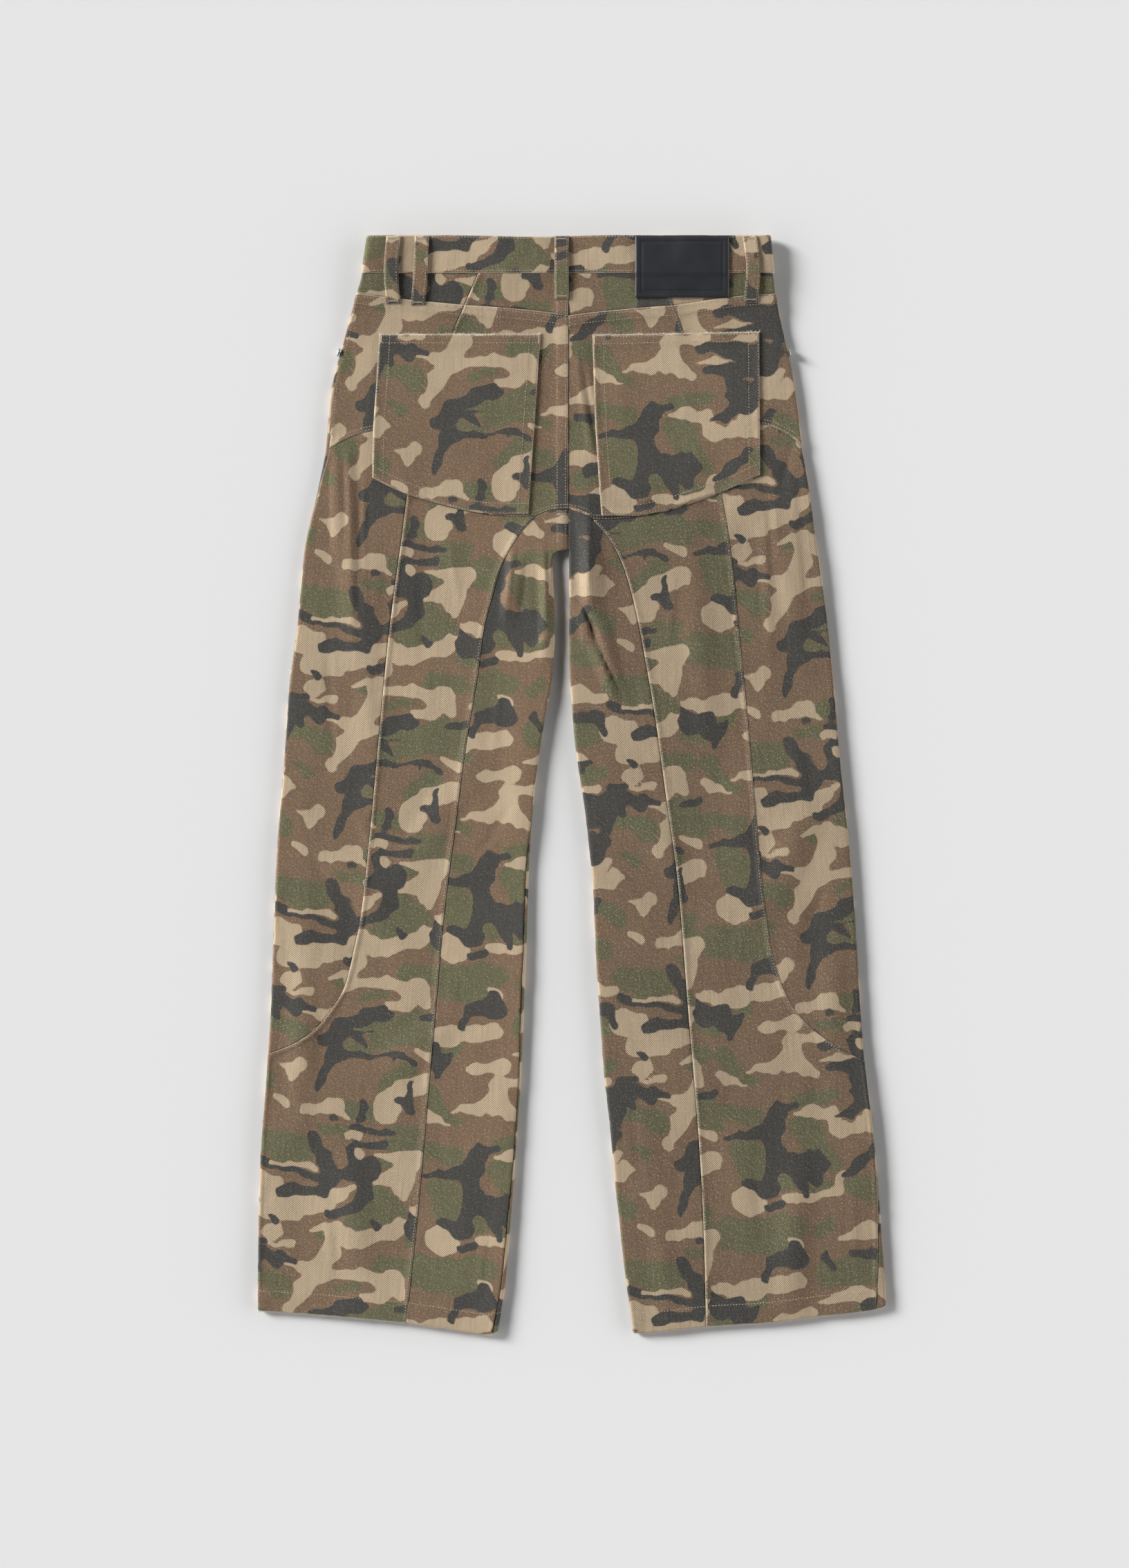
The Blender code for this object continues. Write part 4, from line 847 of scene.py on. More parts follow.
def buildSide(side):
    label = side["label"]
    hipDown = side["hip"]["down"][0]
    kneeDown = side["knee"]["down"][-1]
    yokeDown = side["yokeOuter"]["down"][0]
    hemOuter = hemEnd(side, "outer", -1)
    hemInner = hemEnd(side, "inner", 1)
    centre = side["centreOut"]
    liftRow = garment["liftRow"]
    rivetDown = garment["rivetDown"]
    crotchDown = garment["crotchDown"]
    bandHeight = garment["bandHeight"]
    rows = rowsOf

    topDowns = stretch(bandHeight, yokeDown, rows["yoke"])
    seatDowns = finer(np.array([yokeDown, liftRow, rivetDown, (rivetDown + hipDown) / 2, hipDown]))
    hipDowns = stretch(hipDown, kneeDown, rows["hip"] + rows["princess"])
    lowDowns = stretch(kneeDown, hemOuter, rows["low"])
    princessDowns = stretch(side["princess"]["down"][0], side["princess"]["down"][-1], rows["princess"])
    saddleEnd = hemDepth(side, side["saddle"]["out"][-1])
    kneeTop = side["princess"]["down"][-1] + 10
    saddleDowns = join(stretch(side["saddle"]["down"][0], kneeTop, rows["princess"]),
                       stretch(kneeTop, kneeDown + 12, rows["knee"]),
                       stretch(kneeDown + 12, saddleEnd, rows["low"]))
    ease = evenly(rows["princess"] - rows["centreLow"])
    ease = ease * (1 - 0.7 * np.exp(-ease / 0.12))     # closer rows round the crotch
    inseamDowns = join(crotchDown + (kneeTop - crotchDown) * ease,
                       stretch(kneeTop, kneeDown + 20, rows["knee"]),
                       stretch(kneeDown + 20, hemInner, rows["low"]))

    midShare = side["seatBottom"]["out"][0] - side["seatBottom"]["out"][-1]
    innerShare = side["saddleTop"]["out"][0] - side["saddleTop"]["out"][-1]
    split = midShare / (midShare + innerShare)
    columns = evenly(12)
    seatColumns = join(columns * split, split + columns * (1 - split))
    diagonalTop = along(side["diagonalTop"], evenly(rows["yoke"]))
    diagonal = along(side["diagonal"], finer(np.append(0, np.linspace(0.23, 1, rows["diagonal"]))))
    diagonalLow = along(side["diagonalLow"], evenly(rows["hip"]))
    princess = atDown(side["princess"], princessDowns)
    saddle = atDown(side["saddle"], saddleDowns)
    saddleTop = along(side["saddleTop"], columns)
    seatBottom = along(side["seatBottom"], columns)
    yokeEnd = side["yokeInner"]["down"][-1]
    centreTop = side["saddleTop"]["down"][-1]
    seatRows = rows["diagonal"] + rows["hip"]
    centreYoke = upright(centre, stretch(bandHeight, yokeEnd, rows["yoke"]))
    centreSeat = upright(centre, finer(np.append(yokeEnd, np.linspace(liftRow, centreTop, seatRows))))
    centreLow = upright(centre, stretch(centreTop, crotchDown, rows["centreLow"]))
    outseamTop = edgeSeam(side, "outer", topDowns, "back")
    outseamSeat = edgeSeam(side, "outer", seatDowns, "back")
    outseamSide = edgeSeam(side, "outer", hipDowns, "back")
    outseamLow = edgeSeam(side, "outer", lowDowns, "back")
    innerSeam = edgeSeam(side, "inner", inseamDowns, "back")

    kneeRows = evenly(rows["knee"])
    knee = along(side["knee"], kneeRows[::-1])
    knee[0] = outseamSide[-1]
    yokeOuterSeam = along(side["yokeOuter"], kneeRows)
    yokeOuterSeam[0] = outseamTop[-1]
    hip = along(side["hip"], kneeRows)
    hip[0] = outseamSeat[-1]
    yokeInnerSeam = along(side["yokeInner"], seatColumns)
    waistOuter = outseamTop[0] + (diagonalTop[0] - outseamTop[0]) * kneeRows[:, None]
    waistInner = diagonalTop[0] + (centreYoke[0] - diagonalTop[0]) * seatColumns[:, None]
    hemMid = hemLine(side, outseamLow[-1], saddle[-1], columns)
    hemInnerLine = hemLine(side, saddle[-1], innerSeam[-1], columns)
    outseamLow[-1] = hemMid[0]
    saddle[-1] = hemMid[-1]
    innerSeam[-1] = hemInnerLine[-1]
    centreAndInseam = join(centreLow, innerSeam)

    centreKind = "wide" if label == "left" else "under"
    panel(f"yoke_outer_{label}", side, "back", (waistOuter, yokeOuterSeam, outseamTop, diagonalTop),
          {"outerRolled": True, "bottom": "under", "inner": "under"})
    panel(f"yoke_centre_{label}", side, "back", (waistInner, yokeInnerSeam, diagonalTop, centreYoke),
          {"outer": "over", "bottom": "under", "inner": centreKind})
    panel(f"seat_outer_{label}", side, "back", (yokeOuterSeam, hip, outseamSeat, diagonal),
          {"outerRolled": True, "top": "wide", "bottom": "over"})
    panel(f"seat_centre_{label}", side, "back",
          (yokeInnerSeam, join(seatBottom, saddleTop), join(diagonal, diagonalLow), centreSeat),
          {"top": "wide", "outer": "over", "inner": centreKind})
    panel(f"side_panel_{label}", side, "back", (hip, knee, outseamSide, join(diagonalLow, princess)),
          {"outerRolled": True})
    panel(f"mid_panel_{label}", side, "back",
          (seatBottom, hemMid, join(princess, knee[::-1], outseamLow), saddle),
          {"outerRolled": True, "outer": "over", "inner": "over", "bottom": "hem"})
    panel(f"inner_panel_{label}", side, "back", (saddleTop, hemInnerLine, saddle, centreAndInseam),
          {"innerRolled": True, "bottom": "hem"})

    # The front: one panel, with the pocket's facing in its mouth
    frontTopDowns = np.concatenate([topDowns, seatDowns[1:2 * garment["denser"] + 1]])
    frontSide = edgeSeam(side, "outer", frontTopDowns, "front")
    mouthUpper = along(frontPocket["mouthUpper"], np.linspace(0, 1, len(frontSide)))
    lower = dict(out=np.append(frontPocket["mouthLower"]["out"], frontSide[-1, 0]),
                 down=np.append(frontPocket["mouthLower"]["down"], frontSide[-1, 1]))
    facingColumns = evenly(5)
    mouthLower = along(lower, 1 - facingColumns)
    waistFacing = frontSide[0] + (mouthUpper[0] - frontSide[0]) * facingColumns[:, None]
    panel(f"pocket_facing_{label}", side, "front", (waistFacing, mouthLower, frontSide, mouthUpper),
          {"outerRolled": True})
    frontDowns = join(seatDowns[2 * garment["denser"]:], hipDowns, lowDowns)
    frontOuter = join(mouthUpper, mouthLower[::-1], edgeSeam(side, "outer", frontDowns, "front"))
    frontInseam = edgeSeam(side, "inner", inseamDowns, "front")
    centreCount = len(frontOuter) - len(frontInseam)
    frontCentre = upright(centre, np.linspace(bandHeight, crotchDown, centreCount + 1))
    frontInner = join(frontCentre, frontInseam)
    frontColumns = evenly(14)
    waistFront = mouthUpper[0] + (frontCentre[0] - mouthUpper[0]) * frontColumns[:, None]
    frontHem = hemLine(side, frontOuter[-1], frontInner[-1], frontColumns)
    frontOuter[-1] = frontHem[0]
    frontInner[-1] = frontHem[-1]
    panel(f"front_panel_{label}", side, "front", (waistFront, frontHem, frontOuter, frontInner),
          {"outerRolled": True, "innerRolled": True, "bottom": "hem", "outer": "over"})


frontPocket = {
    "mouthUpper": table("out down", (112, 37.4), (114.5, 62), (128, 88)),
    "mouthLower": table("out down", (128, 88), (165, 105.5)),
}

backPocket = {"wall": 1.8, "step": 2.5, "edgeFall": 0.7, "turnWidth": 3.5}


def buildPocket(side):
    # A patch pocket on the seat: the seat's upper face moved out, its edges turned down on to the seat.
    label = side["label"]
    shares = np.linspace(0, 1, 65)
    sides = (along(side["pocketTop"], shares), along(side["pocketBottom"], shares),
             along(side["pocketOuter"], shares), along(side["pocketInner"], shares))
    steps = seamSteps["sewn"]
    across = spread(sides[0], sides[1], backPocket["step"], steps, steps)
    through = spread(sides[2], sides[3], backPocket["step"], steps, steps)
    grid = filled(*sides, across, through)
    kinds = {"top": "mouth", "bottom": "over", "outer": "over", "inner": "over"}
    detail, wear, nearest = sewnDetail(grid, kinds)
    x = side["sign"] * grid[..., 0]
    down = grid[..., 1]
    base = raised(x, down) + garment["lieGap"]
    lining = laidAt(x, down, base)
    face = lining + 0.0
    rim = np.minimum(nearest / backPocket["turnWidth"], 1)
    face[..., 2] += backPocket["wall"] + detail - 0.5 - backPocket["edgeFall"] * (1 - rim) ** 2
    cloth = np.stack([x, down], axis=-1)
    node = f"back_pocket_{label}"
    clothPiece(node, face * mm, lining * mm, cloth, wear)


def buildWaistband():
    # One strip round the whole waist, ends meeting at the front opening: stations round the tube, rows down.
    downs = np.concatenate([[0, 0.4, 1.0, 1.8], np.linspace(3, 34.4, 13), [35.6, 36.4, 37.0, 37.34]])
    stations = []
    for side, order in ((left, 1), (right, -1)):
        tangent = outerEdge(side, downs) - garment["edgeRadius"]
        start = side["centreOut"] + garment["seamGap"] / 2
        frontSteps = np.linspace(1, 0, 60)[:-1]
        arcs = np.linspace(0, 1, 13)[:-1]
        backSteps = np.linspace(1, 0, 66)
        half = [("front", tangent + (start - tangent) * share) for share in frontSteps]
        half += [("front", tangent + math.pi * garment["edgeRadius"] * share) for share in arcs]
        half += [("back", side["centreOut"] + (tangent - side["centreOut"]) * share) for share in backSteps]
        lines = []
        for layer, around in half:
            out = roll(side, around, downs, 0.0)[0]
            aside = bump((side["sign"] * out - band["dipX"]) / band["dipHalf"])
            dip = band["dip"] * aside * (1 - downs / garment["bandHeight"])
            edge = np.minimum(downs, garment["bandHeight"] - downs)
            drop = band["edgeDrop"] * fading(edge, band["edgeWidth"])
            gathered = noiseAt(side["sign"] * around + downs * 0.3, downs, band["puckerCell"], 41)
            proud = band["proud"] - drop + band["puckers"] * gathered
            outer = proud if layer == "back" else np.minimum(proud, band["proud"])
            face = place(side, layer, around, downs, -outer)
            back = place(side, layer, around, downs, band["wall"] - band["proud"])
            face[:, 1] -= dip * mm
            back[:, 1] -= dip * mm
            lines.append((face, back))
        if order < 0:
            lines = lines[::-1][1:]
        stations += lines
    face = np.stack([line[0] for line in stations], axis=1)
    lining = np.stack([line[1] for line in stations], axis=1)
    run = lengthsAlong(face[len(downs) // 2]) / mm
    cloth = np.stack(np.broadcast_arrays(run[None, :], downs[:, None]), axis=-1).astype(float)
    edge = np.minimum(cloth[..., 1], garment["bandHeight"] - cloth[..., 1])
    wear = band["wear"] * fading(edge, 1.4)
    clothPiece("waistband", face, lining, cloth, wear)


loops = {
    "width": 13.8,
    "wall": 1.9,
    "bow": 0.7,
    "frontBow": 0.4,
    "top": 1.0,
    "edgeDrop": 0.9,
    "edgeWidth": 0.6,
    "rows": 44,
    "tackLength": 9.0,
    "tackWidth": 1.9,
}
# Each loop's middle line: x at its top, its middle and its end, and how far down it ends.
loopPlaces = {
    "belt_loop_left_outer": (-175.3, -177.7, -175.6, 67.3),
    "belt_loop_left_inner": (-147.4, -148.6, -151.5, 68.7),
    "belt_loop_centre": (-10.0, -10.2, -9.8, 62.6),
    "belt_loop_right": (174.4, 178.0, 176.0, 66.0),
    "belt_loop_front_left": (-100.0, -100.0, -100.0, 56.0),
    "belt_loop_front_right": (96.0, 96.0, 96.0, 56.0),
}


def buildLoop(node):
    # A flat strip with rounded edges: columns from edge to edge, carried down a line that bows outwards.
    *middle, end = loopPlaces[node]
    front = "front" in node
    share = np.concatenate([[0, 0.006, 0.016], np.linspace(0.03, 0.97, loops["rows"]), [0.984, 0.994, 1]])
    top = loops["top"]
    down = top + (end - top) * share
    x = curve(np.array([0, 0.5, 1.0]), np.array(middle), share)
    half = loops["width"] / 2
    across = np.array([-1, -0.97, -0.9, -0.78, -0.6, -0.3, 0, 0.3, 0.6, 0.78, 0.9, 0.97, 1]) * half
    gridX = x[:, None] + across
    gridDown = np.repeat(down[:, None], len(across), axis=1)
    endAway = np.minimum(down - top, end - down)[:, None]
    edge = np.minimum(half - np.abs(across)[None, :], endAway)
    fall = loops["edgeDrop"] * fading(edge, loops["edgeWidth"])
    if front:
        bow = loops["frontBow"] * np.sin(math.pi * share)
        step = band["proud"] * np.clip((garment["bandHeight"] + band["step"] - gridDown) / band["step"], 0, 1)
        height = restLift(gridDown) - step - garment["lieGap"] - bow[:, None]
        lift = -(loops["wall"] - fall)
    else:
        bow = loops["bow"] * np.sin(math.pi * share) ** 0.8
        height = raised(gridX, gridDown) + garment["lieGap"] + bow[:, None]
        lift = loops["wall"] - fall
    lining = laidAt(gridX, gridDown, height)
    face = lining + 0.0
    face[..., 2] += lift
    cloth = np.stack([gridX * (-1 if front else 1), gridDown], axis=-1)
    wear = 0.6 * fading(edge, 1.0) + 0.25 * bump((gridDown - 4.0) / 9.0)
    clothPiece(node, face * mm, lining * mm, cloth, wear)


shield = {"width": 40.0, "top": 40.5, "end": 195.0, "wall": 1.0}


def buildShield():
    downs = np.linspace(shield["top"], shield["end"], 60)
    x = left["sign"] * left["centreOut"] + np.linspace(-shield["width"] / 2, shield["width"] / 2, 17)
    gridX, gridDown = np.meshgrid(x, downs)
    height = garment["wall"] + garment["lieGap"] + restLift(gridDown)
    face = laidAt(gridX, gridDown, height)
    lining = face + np.array([0, 0, shield["wall"]])
    cloth = np.stack([-gridX, gridDown], axis=-1)
    clothPiece("fly_shield", face * mm, lining * mm, cloth, np.zeros(gridX.shape))


def newMaterial(name, finish):
    # A Principled BSDF with the fixed values of a finish on its own sockets.
    material = bpy.data.materials.new(name)
    material.use_nodes = True
    shader = material.node_tree.nodes["Principled BSDF"]
    for socketName, value in finish.items():
        shader.inputs[socketName].default_value = value
    return material, material.node_tree, shader


def feed(tree, socket, value):
    if isinstance(value, bpy.types.NodeSocket):
        tree.links.new(value, socket)
    else:
        socket.default_value = value


def calc(tree, operation, *values):
    node = tree.nodes.new("ShaderNodeMath")
    node.operation = operation
    for socket, value in zip(node.inputs, values):
        feed(tree, socket, value)
    return node.outputs[0]


def ramp(tree, value, low, high, start=0.0, end=1.0):
    # Smooth step from start to end as the value goes from low to high.
    node = tree.nodes.new("ShaderNodeMapRange")
    node.interpolation_type = "SMOOTHSTEP"
    for socket, number in zip(node.inputs, (value, low, high, start, end)):
        feed(tree, socket, number)
    return node.outputs[0]


def speckle(tree, place, scale, detail=2.0, roughness=0.5):
    node = tree.nodes.new("ShaderNodeTexNoise")
    feed(tree, node.inputs["Vector"], place)
    node.inputs["Scale"].default_value = scale
    node.inputs["Detail"].default_value = detail
    node.inputs["Roughness"].default_value = roughness
    return node.outputs[0]


def mixed(tree, factor, first, second, mode="MIX"):
    node = tree.nodes.new("ShaderNodeMix")
    node.data_type = "RGBA"
    node.blend_type = mode
    node.clamp_result = False
    feed(tree, node.inputs[0], factor)
    feed(tree, node.inputs[6], first)
    feed(tree, node.inputs[7], second)
    return node.outputs[2]


def stretched(tree, place, scale):
    node = tree.nodes.new("ShaderNodeMapping")
    feed(tree, node.inputs["Vector"], place)
    node.inputs["Scale"].default_value = scale
    return node.outputs[0]


def newGroup(name, inputs, outputs):
    tree = bpy.data.node_groups.new(name, "ShaderNodeTree")
    kinds = {float: "NodeSocketFloat", tuple: "NodeSocketColor", None: "NodeSocketVector"}
    for socketName, value in inputs.items():
        kind = kinds[None if value is None else type(value)]
        socket = tree.interface.new_socket(socketName, in_out="INPUT", socket_type=kind)
        if value is not None:
            socket.default_value = value
    for socketName, kind in outputs.items():
        tree.interface.new_socket(socketName, in_out="OUTPUT", socket_type=kind)
    entry = tree.nodes.new("NodeGroupInput")
    leave = tree.nodes.new("NodeGroupOutput")
    return tree, entry.outputs, leave.inputs


def useGroup(tree, group, **values):
    node = tree.nodes.new("ShaderNodeGroup")
    node.node_tree = group
    for key, value in values.items():
        feed(tree, node.inputs[key], value)
    return node.outputs


def attributeOf(tree, name, output="Fac"):
    node = tree.nodes.new("ShaderNodeAttribute")
    node.attribute_name = name
    return node.outputs[output]


def objectPlace(tree):
    return tree.nodes.new("ShaderNodeTexCoord").outputs["Object"]


def emboss(tree, shader, height, strength, distance):
    bumps = tree.nodes.new("ShaderNodeBump")
    bumps.inputs["Strength"].default_value = strength
    bumps.inputs["Distance"].default_value = distance
    tree.links.new(height, bumps.inputs["Height"])
    tree.links.new(bumps.outputs[0], shader.inputs["Normal"])


def clothPlace(tree):
    node = tree.nodes.new("ShaderNodeUVMap")
    node.uv_map = "cloth"
    return node.outputs[0]


inks = {
    "Tan": (0.440, 0.335, 0.222, 1.0),
    "Brown": (0.176, 0.109, 0.065, 1.0),
    "Green": (0.112, 0.108, 0.054, 1.0),
    "Charcoal": (0.052, 0.050, 0.046, 1.0),
    "bareThread": (0.60, 0.52, 0.41, 1.0),
    "Ragged": 0.42,           # mm
    "feather": 11.0,          # how far green's edge wanders into brown, and how softly each ink ends, in mm
    "greenSoft": 2.6,
    "tanSoft": 0.35,
    "charcoalSoft": 0.4,
}


def printGroup():
    # The inks one over another, each edged where its depth crosses 0; brown and green shade into each other.
    tree, given, out = newGroup(
        "printed inks",
        {"Green Depth": 0.0, "Tan Depth": 0.0, "Charcoal Depth": 0.0, "Place": None, "Ragged": inks["Ragged"],
         "Tan": inks["Tan"], "Brown": inks["Brown"], "Green": inks["Green"], "Charcoal": inks["Charcoal"]},
        {"Color": "NodeSocketColor"})
    fine = calc(tree, "SUBTRACT", speckle(tree, given["Place"], 900.0), 0.5)
    ragged = calc(tree, "MULTIPLY", calc(tree, "MULTIPLY", fine, 4.0), given["Ragged"])
    wander = calc(tree, "SUBTRACT", speckle(tree, given["Place"], 230.0, 5.0, 0.65), 0.5)
    feather = calc(tree, "MULTIPLY", wander, inks["feather"])
    greenDepth = calc(tree, "ADD", given["Green Depth"], feather)
    green, tan, charcoal = (
        ramp(tree, calc(tree, "ADD", depth, ragged), -inks[soft], inks[soft])
        for depth, soft in ((greenDepth, "greenSoft"), (given["Tan Depth"], "tanSoft"),
                            (given["Charcoal Depth"], "charcoalSoft")))
    colour = mixed(tree, green, given["Brown"], given["Green"])
    colour = mixed(tree, tan, colour, given["Tan"])
    colour = mixed(tree, charcoal, colour, given["Charcoal"])
    tree.links.new(colour, out["Color"])
    return tree


weave = {"Spacing": 1.55, "threadShade": 0.74, "fleck": 0.52, "streak": 0.55, "fade": 0.35, "bump": 0.35}


def weaveGroup():
    # Diagonal ribs rising to the right: a sine of the distance across them, wavering a little, and the pale
    # cross threads that show between them as short flecks.
    tree, given, out = newGroup(
        "diagonal twill", {"Place": None, "Spacing": weave["Spacing"]},
        {"Height": "NodeSocketFloat", "Shade": "NodeSocketFloat", "Fleck": "NodeSocketFloat",
         "Streak": "NodeSocketFloat"})
    split = tree.nodes.new("ShaderNodeSeparateXYZ")
    tree.links.new(given["Place"], split.inputs[0])
    across = calc(tree, "MULTIPLY", calc(tree, "SUBTRACT", split.outputs[0], split.outputs[1]), 707.1)
    waver = calc(tree, "MULTIPLY", speckle(tree, given["Place"], 160.0), 0.5)
    turns = calc(tree, "ADD", calc(tree, "DIVIDE", across, given["Spacing"]), waver)
    rib = calc(tree, "SINE", calc(tree, "MULTIPLY", turns, 2 * math.pi))
    lean = tree.nodes.new("ShaderNodeVectorRotate")
    lean.rotation_type = "Z_AXIS"
    lean.inputs["Angle"].default_value = math.radians(-45)
    tree.links.new(given["Place"], lean.inputs["Vector"])
    flecks = speckle(tree, stretched(tree, lean.outputs[0], (420.0, 1500.0, 1.0)), 1.0, 2.0, 0.6)
    tree.links.new(calc(tree, "ADD", rib, calc(tree, "MULTIPLY", flecks, 0.8)), out["Height"])
    tree.links.new(rib, out["Shade"])
    tree.links.new(ramp(tree, flecks, 0.5, 0.75), out["Fleck"])
    streak = speckle(tree, stretched(tree, given["Place"], (700.0, 22.0, 1.0)), 1.0, 3.0, 0.6)
    tree.links.new(calc(tree, "SUBTRACT", streak, 0.5), out["Streak"])
    return tree


def wearGroup():
    # Wear as grains: where the worn share plus a grain noise passes a limit the ink is rubbed off.
    tree, given, out = newGroup(
        "rubbed wear", {"Wear": 0.0, "Place": None, "Amount": 1.0}, {"Mask": "NodeSocketFloat"})
    grain = speckle(tree, given["Place"], 620.0, 4.0, 0.65)
    patches = speckle(tree, given["Place"], 90.0, 2.0)
    patchy = calc(tree, "ADD", calc(tree, "MULTIPLY", patches, 1.2), 0.4)
    rubbed = calc(tree, "MULTIPLY", given["Wear"], patchy)
    mask = ramp(tree, calc(tree, "ADD", rubbed, calc(tree, "SUBTRACT", grain, 0.5)), 0.3, 0.95)
    tree.links.new(calc(tree, "MULTIPLY", mask, given["Amount"]), out["Mask"])
    return tree


groups = {"print": printGroup(), "weave": weaveGroup(), "wear": wearGroup()}


def scaled(tree, colour, factor):
    # A colour times a number that changes over the surface.
    node = tree.nodes.new("ShaderNodeVectorMath")
    node.operation = "SCALE"
    feed(tree, node.inputs[0], colour)
    feed(tree, node.inputs["Scale"], factor)
    return node.outputs[0]


twillFinish = {"Roughness": 0.88, "Sheen Weight": 0.12, "Sheen Roughness": 0.5, "Specular IOR Level": 0.2}


def twillMaterial(name, printShare, wearAmount):
    material, tree, shader = newMaterial(name, twillFinish)
    place = clothPlace(tree)
    printed = useGroup(tree, groups["print"], Place=place, **{
        "Green Depth": attributeOf(tree, "greenDepth"), "Tan Depth": attributeOf(tree, "tanDepth"),
        "Charcoal Depth": attributeOf(tree, "charcoalDepth")})
    twillWeave = useGroup(tree, groups["weave"], Place=place)
    wear = useGroup(tree, groups["wear"], Place=place, Wear=attributeOf(tree, "wear"), Amount=wearAmount)
    colour = mixed(tree, printShare, inks["bareThread"], printed["Color"])
    shade = calc(tree, "MULTIPLY", twillWeave["Shade"], weave["threadShade"] * 0.5)
    streak = calc(tree, "MULTIPLY", twillWeave["Streak"], weave["streak"])
    fade = calc(tree, "MULTIPLY", calc(tree, "SUBTRACT", speckle(tree, place, 14.0, 3.0), 0.5), weave["fade"])
    factor = calc(tree, "ADD", calc(tree, "ADD", shade, streak), fade)
    # The colour times the weave's ribs, the streaks, the random fade and the painted light and shade of the
    # legs.
    colour = scaled(tree, colour, calc(tree, "ADD", factor, attributeOf(tree, "paintedLightShade")))
    fleck = calc(tree, "MULTIPLY", twillWeave["Fleck"], weave["fleck"])
    charcoal = ramp(tree, attributeOf(tree, "charcoalDepth"), -1.0, 1.0, 1.0, 0.45)
    fleck = calc(tree, "MULTIPLY", fleck, charcoal)
    colour = mixed(tree, fleck, colour, inks["bareThread"])
    colour = mixed(tree, wear["Mask"], colour, inks["bareThread"])
    tree.links.new(colour, shader.inputs["Base Color"])
    emboss(tree, shader, twillWeave["Height"], weave["bump"], 0.0002)
    return material


twill = twillMaterial("camouflage_twill", 1.0, 0.6)
twillBack = twillMaterial("twill_reverse", 0.3, 0.2)


hide = {
    "dark": (0.014, 0.015, 0.019, 1),
    "light": (0.024, 0.026, 0.032, 1),
    "roughness": (0.42, 0.58),
    "bump": 0.25,
}


def leatherMaterial():
    material, tree, shader = newMaterial("patch_leather", {})
    place = objectPlace(tree)
    pores = speckle(tree, place, 1400.0, 3.0, 0.6)
    mottle = speckle(tree, place, 60.0, 3.0)
    tree.links.new(mixed(tree, mottle, hide["dark"], hide["light"]), shader.inputs["Base Color"])
    tree.links.new(ramp(tree, pores, 0.3, 0.7, *hide["roughness"]), shader.inputs["Roughness"])
    emboss(tree, shader, pores, hide["bump"], 0.0001)
    return material


leather = leatherMaterial()


def threadMaterial(name, dark, light):
    # Spun thread: its tone changes from stitch to stitch, with fine twisted plies.
    material, tree, shader = newMaterial(name, {"Roughness": 0.8, "Sheen Weight": 0.2})
    plies = speckle(tree, objectPlace(tree), 2600.0, 2.0)
    tone = calc(tree, "ADD", attributeOf(tree, "tone"), calc(tree, "MULTIPLY", plies, 0.35))
    tree.links.new(mixed(tree, tone, dark, light), shader.inputs["Base Color"])
    return material


threadTan = threadMaterial("thread_tan", (0.26, 0.20, 0.125, 1), (0.56, 0.47, 0.35, 1))
threadCream = threadMaterial("thread_cream", (0.42, 0.35, 0.25, 1), (0.72, 0.65, 0.53, 1))
threadNavy = threadMaterial("thread_navy", (0.016, 0.018, 0.024, 1), (0.05, 0.055, 0.07, 1))


def unit(vectors):
    return vectors / np.maximum(np.linalg.norm(vectors, axis=-1, keepdims=True), 1e-12)


def outwardNormals(node):
    # The outward normals of a node's face grid, from the cross product of its two directions.
    grid = grids[node]["face"]
    normal = unit(np.cross(np.gradient(grid, axis=1), np.gradient(grid, axis=0)))
    side = np.sum(normal * (grid - grids[node]["lining"]), axis=-1, keepdims=True)
    return normal * np.sign(side)


def offsetLine(node, edge, far):
    # Points and normals along a line at a distance from an edge, measured flat and square to the edge.
    views = {"top": lambda g: g.transpose(1, 0, 2), "bottom": lambda g: g[::-1].transpose(1, 0, 2),
             "outer": lambda g: g, "inner": lambda g: g[:, ::-1]}
    grid = grids[node]
    face, normal, cloth = (views[edge](g) for g in (grid["face"], outwardNormals(node), grid["cloth"]))
    tangent = unit(np.gradient(cloth[:, 0], axis=0))
    apart = cloth - cloth[:, :1]
    away = np.abs(apart[..., 0] * tangent[:, None, 1] - apart[..., 1] * tangent[:, None, 0])
    away = np.maximum.accumulate(away, axis=1)
    i = np.clip((away < far).sum(axis=1) - 1, 0, away.shape[1] - 2)
    line = np.arange(len(away))
    t = (far - away[line, i]) / np.maximum(away[line, i + 1] - away[line, i], 1e-9)
    t = np.clip(t, 0, 1)[:, None]
    blend = lambda g: g[line, i] * (1 - t) + g[line, i + 1] * t
    return blend(face), unit(blend(normal)), blend(cloth)


def layOn(node, x, down):
    # Points and normals of a node's face under flat places (x, down): the nearest grid point's own plane.
    face = grids[node]["face"].reshape(-1, 3)
    normal = outwardNormals(node).reshape(-1, 3)
    at = np.stack([np.asarray(x, float), garment["topEdge"] - np.asarray(down, float)], axis=1) * mm
    i = ((face[None, :, :2] - at[:, None]) ** 2).sum(axis=-1).argmin(axis=1)
    slope = (normal[i, :2] * (at - face[i, :2])).sum(axis=1)
    tall = normal[i, 2]
    z = face[i, 2] - slope / np.where(np.abs(tall) < 0.2, 0.2, tall)
    return np.concatenate([at, z[:, None]], axis=1), normal[i]


stitch = {"pitch": 2.9, "length": 2.15, "width": 0.62, "height": 0.5, "sink": 0.28, "lift": 0.10}
sewn = {"back": [], "front": [], "tacks": [], "patch": []}


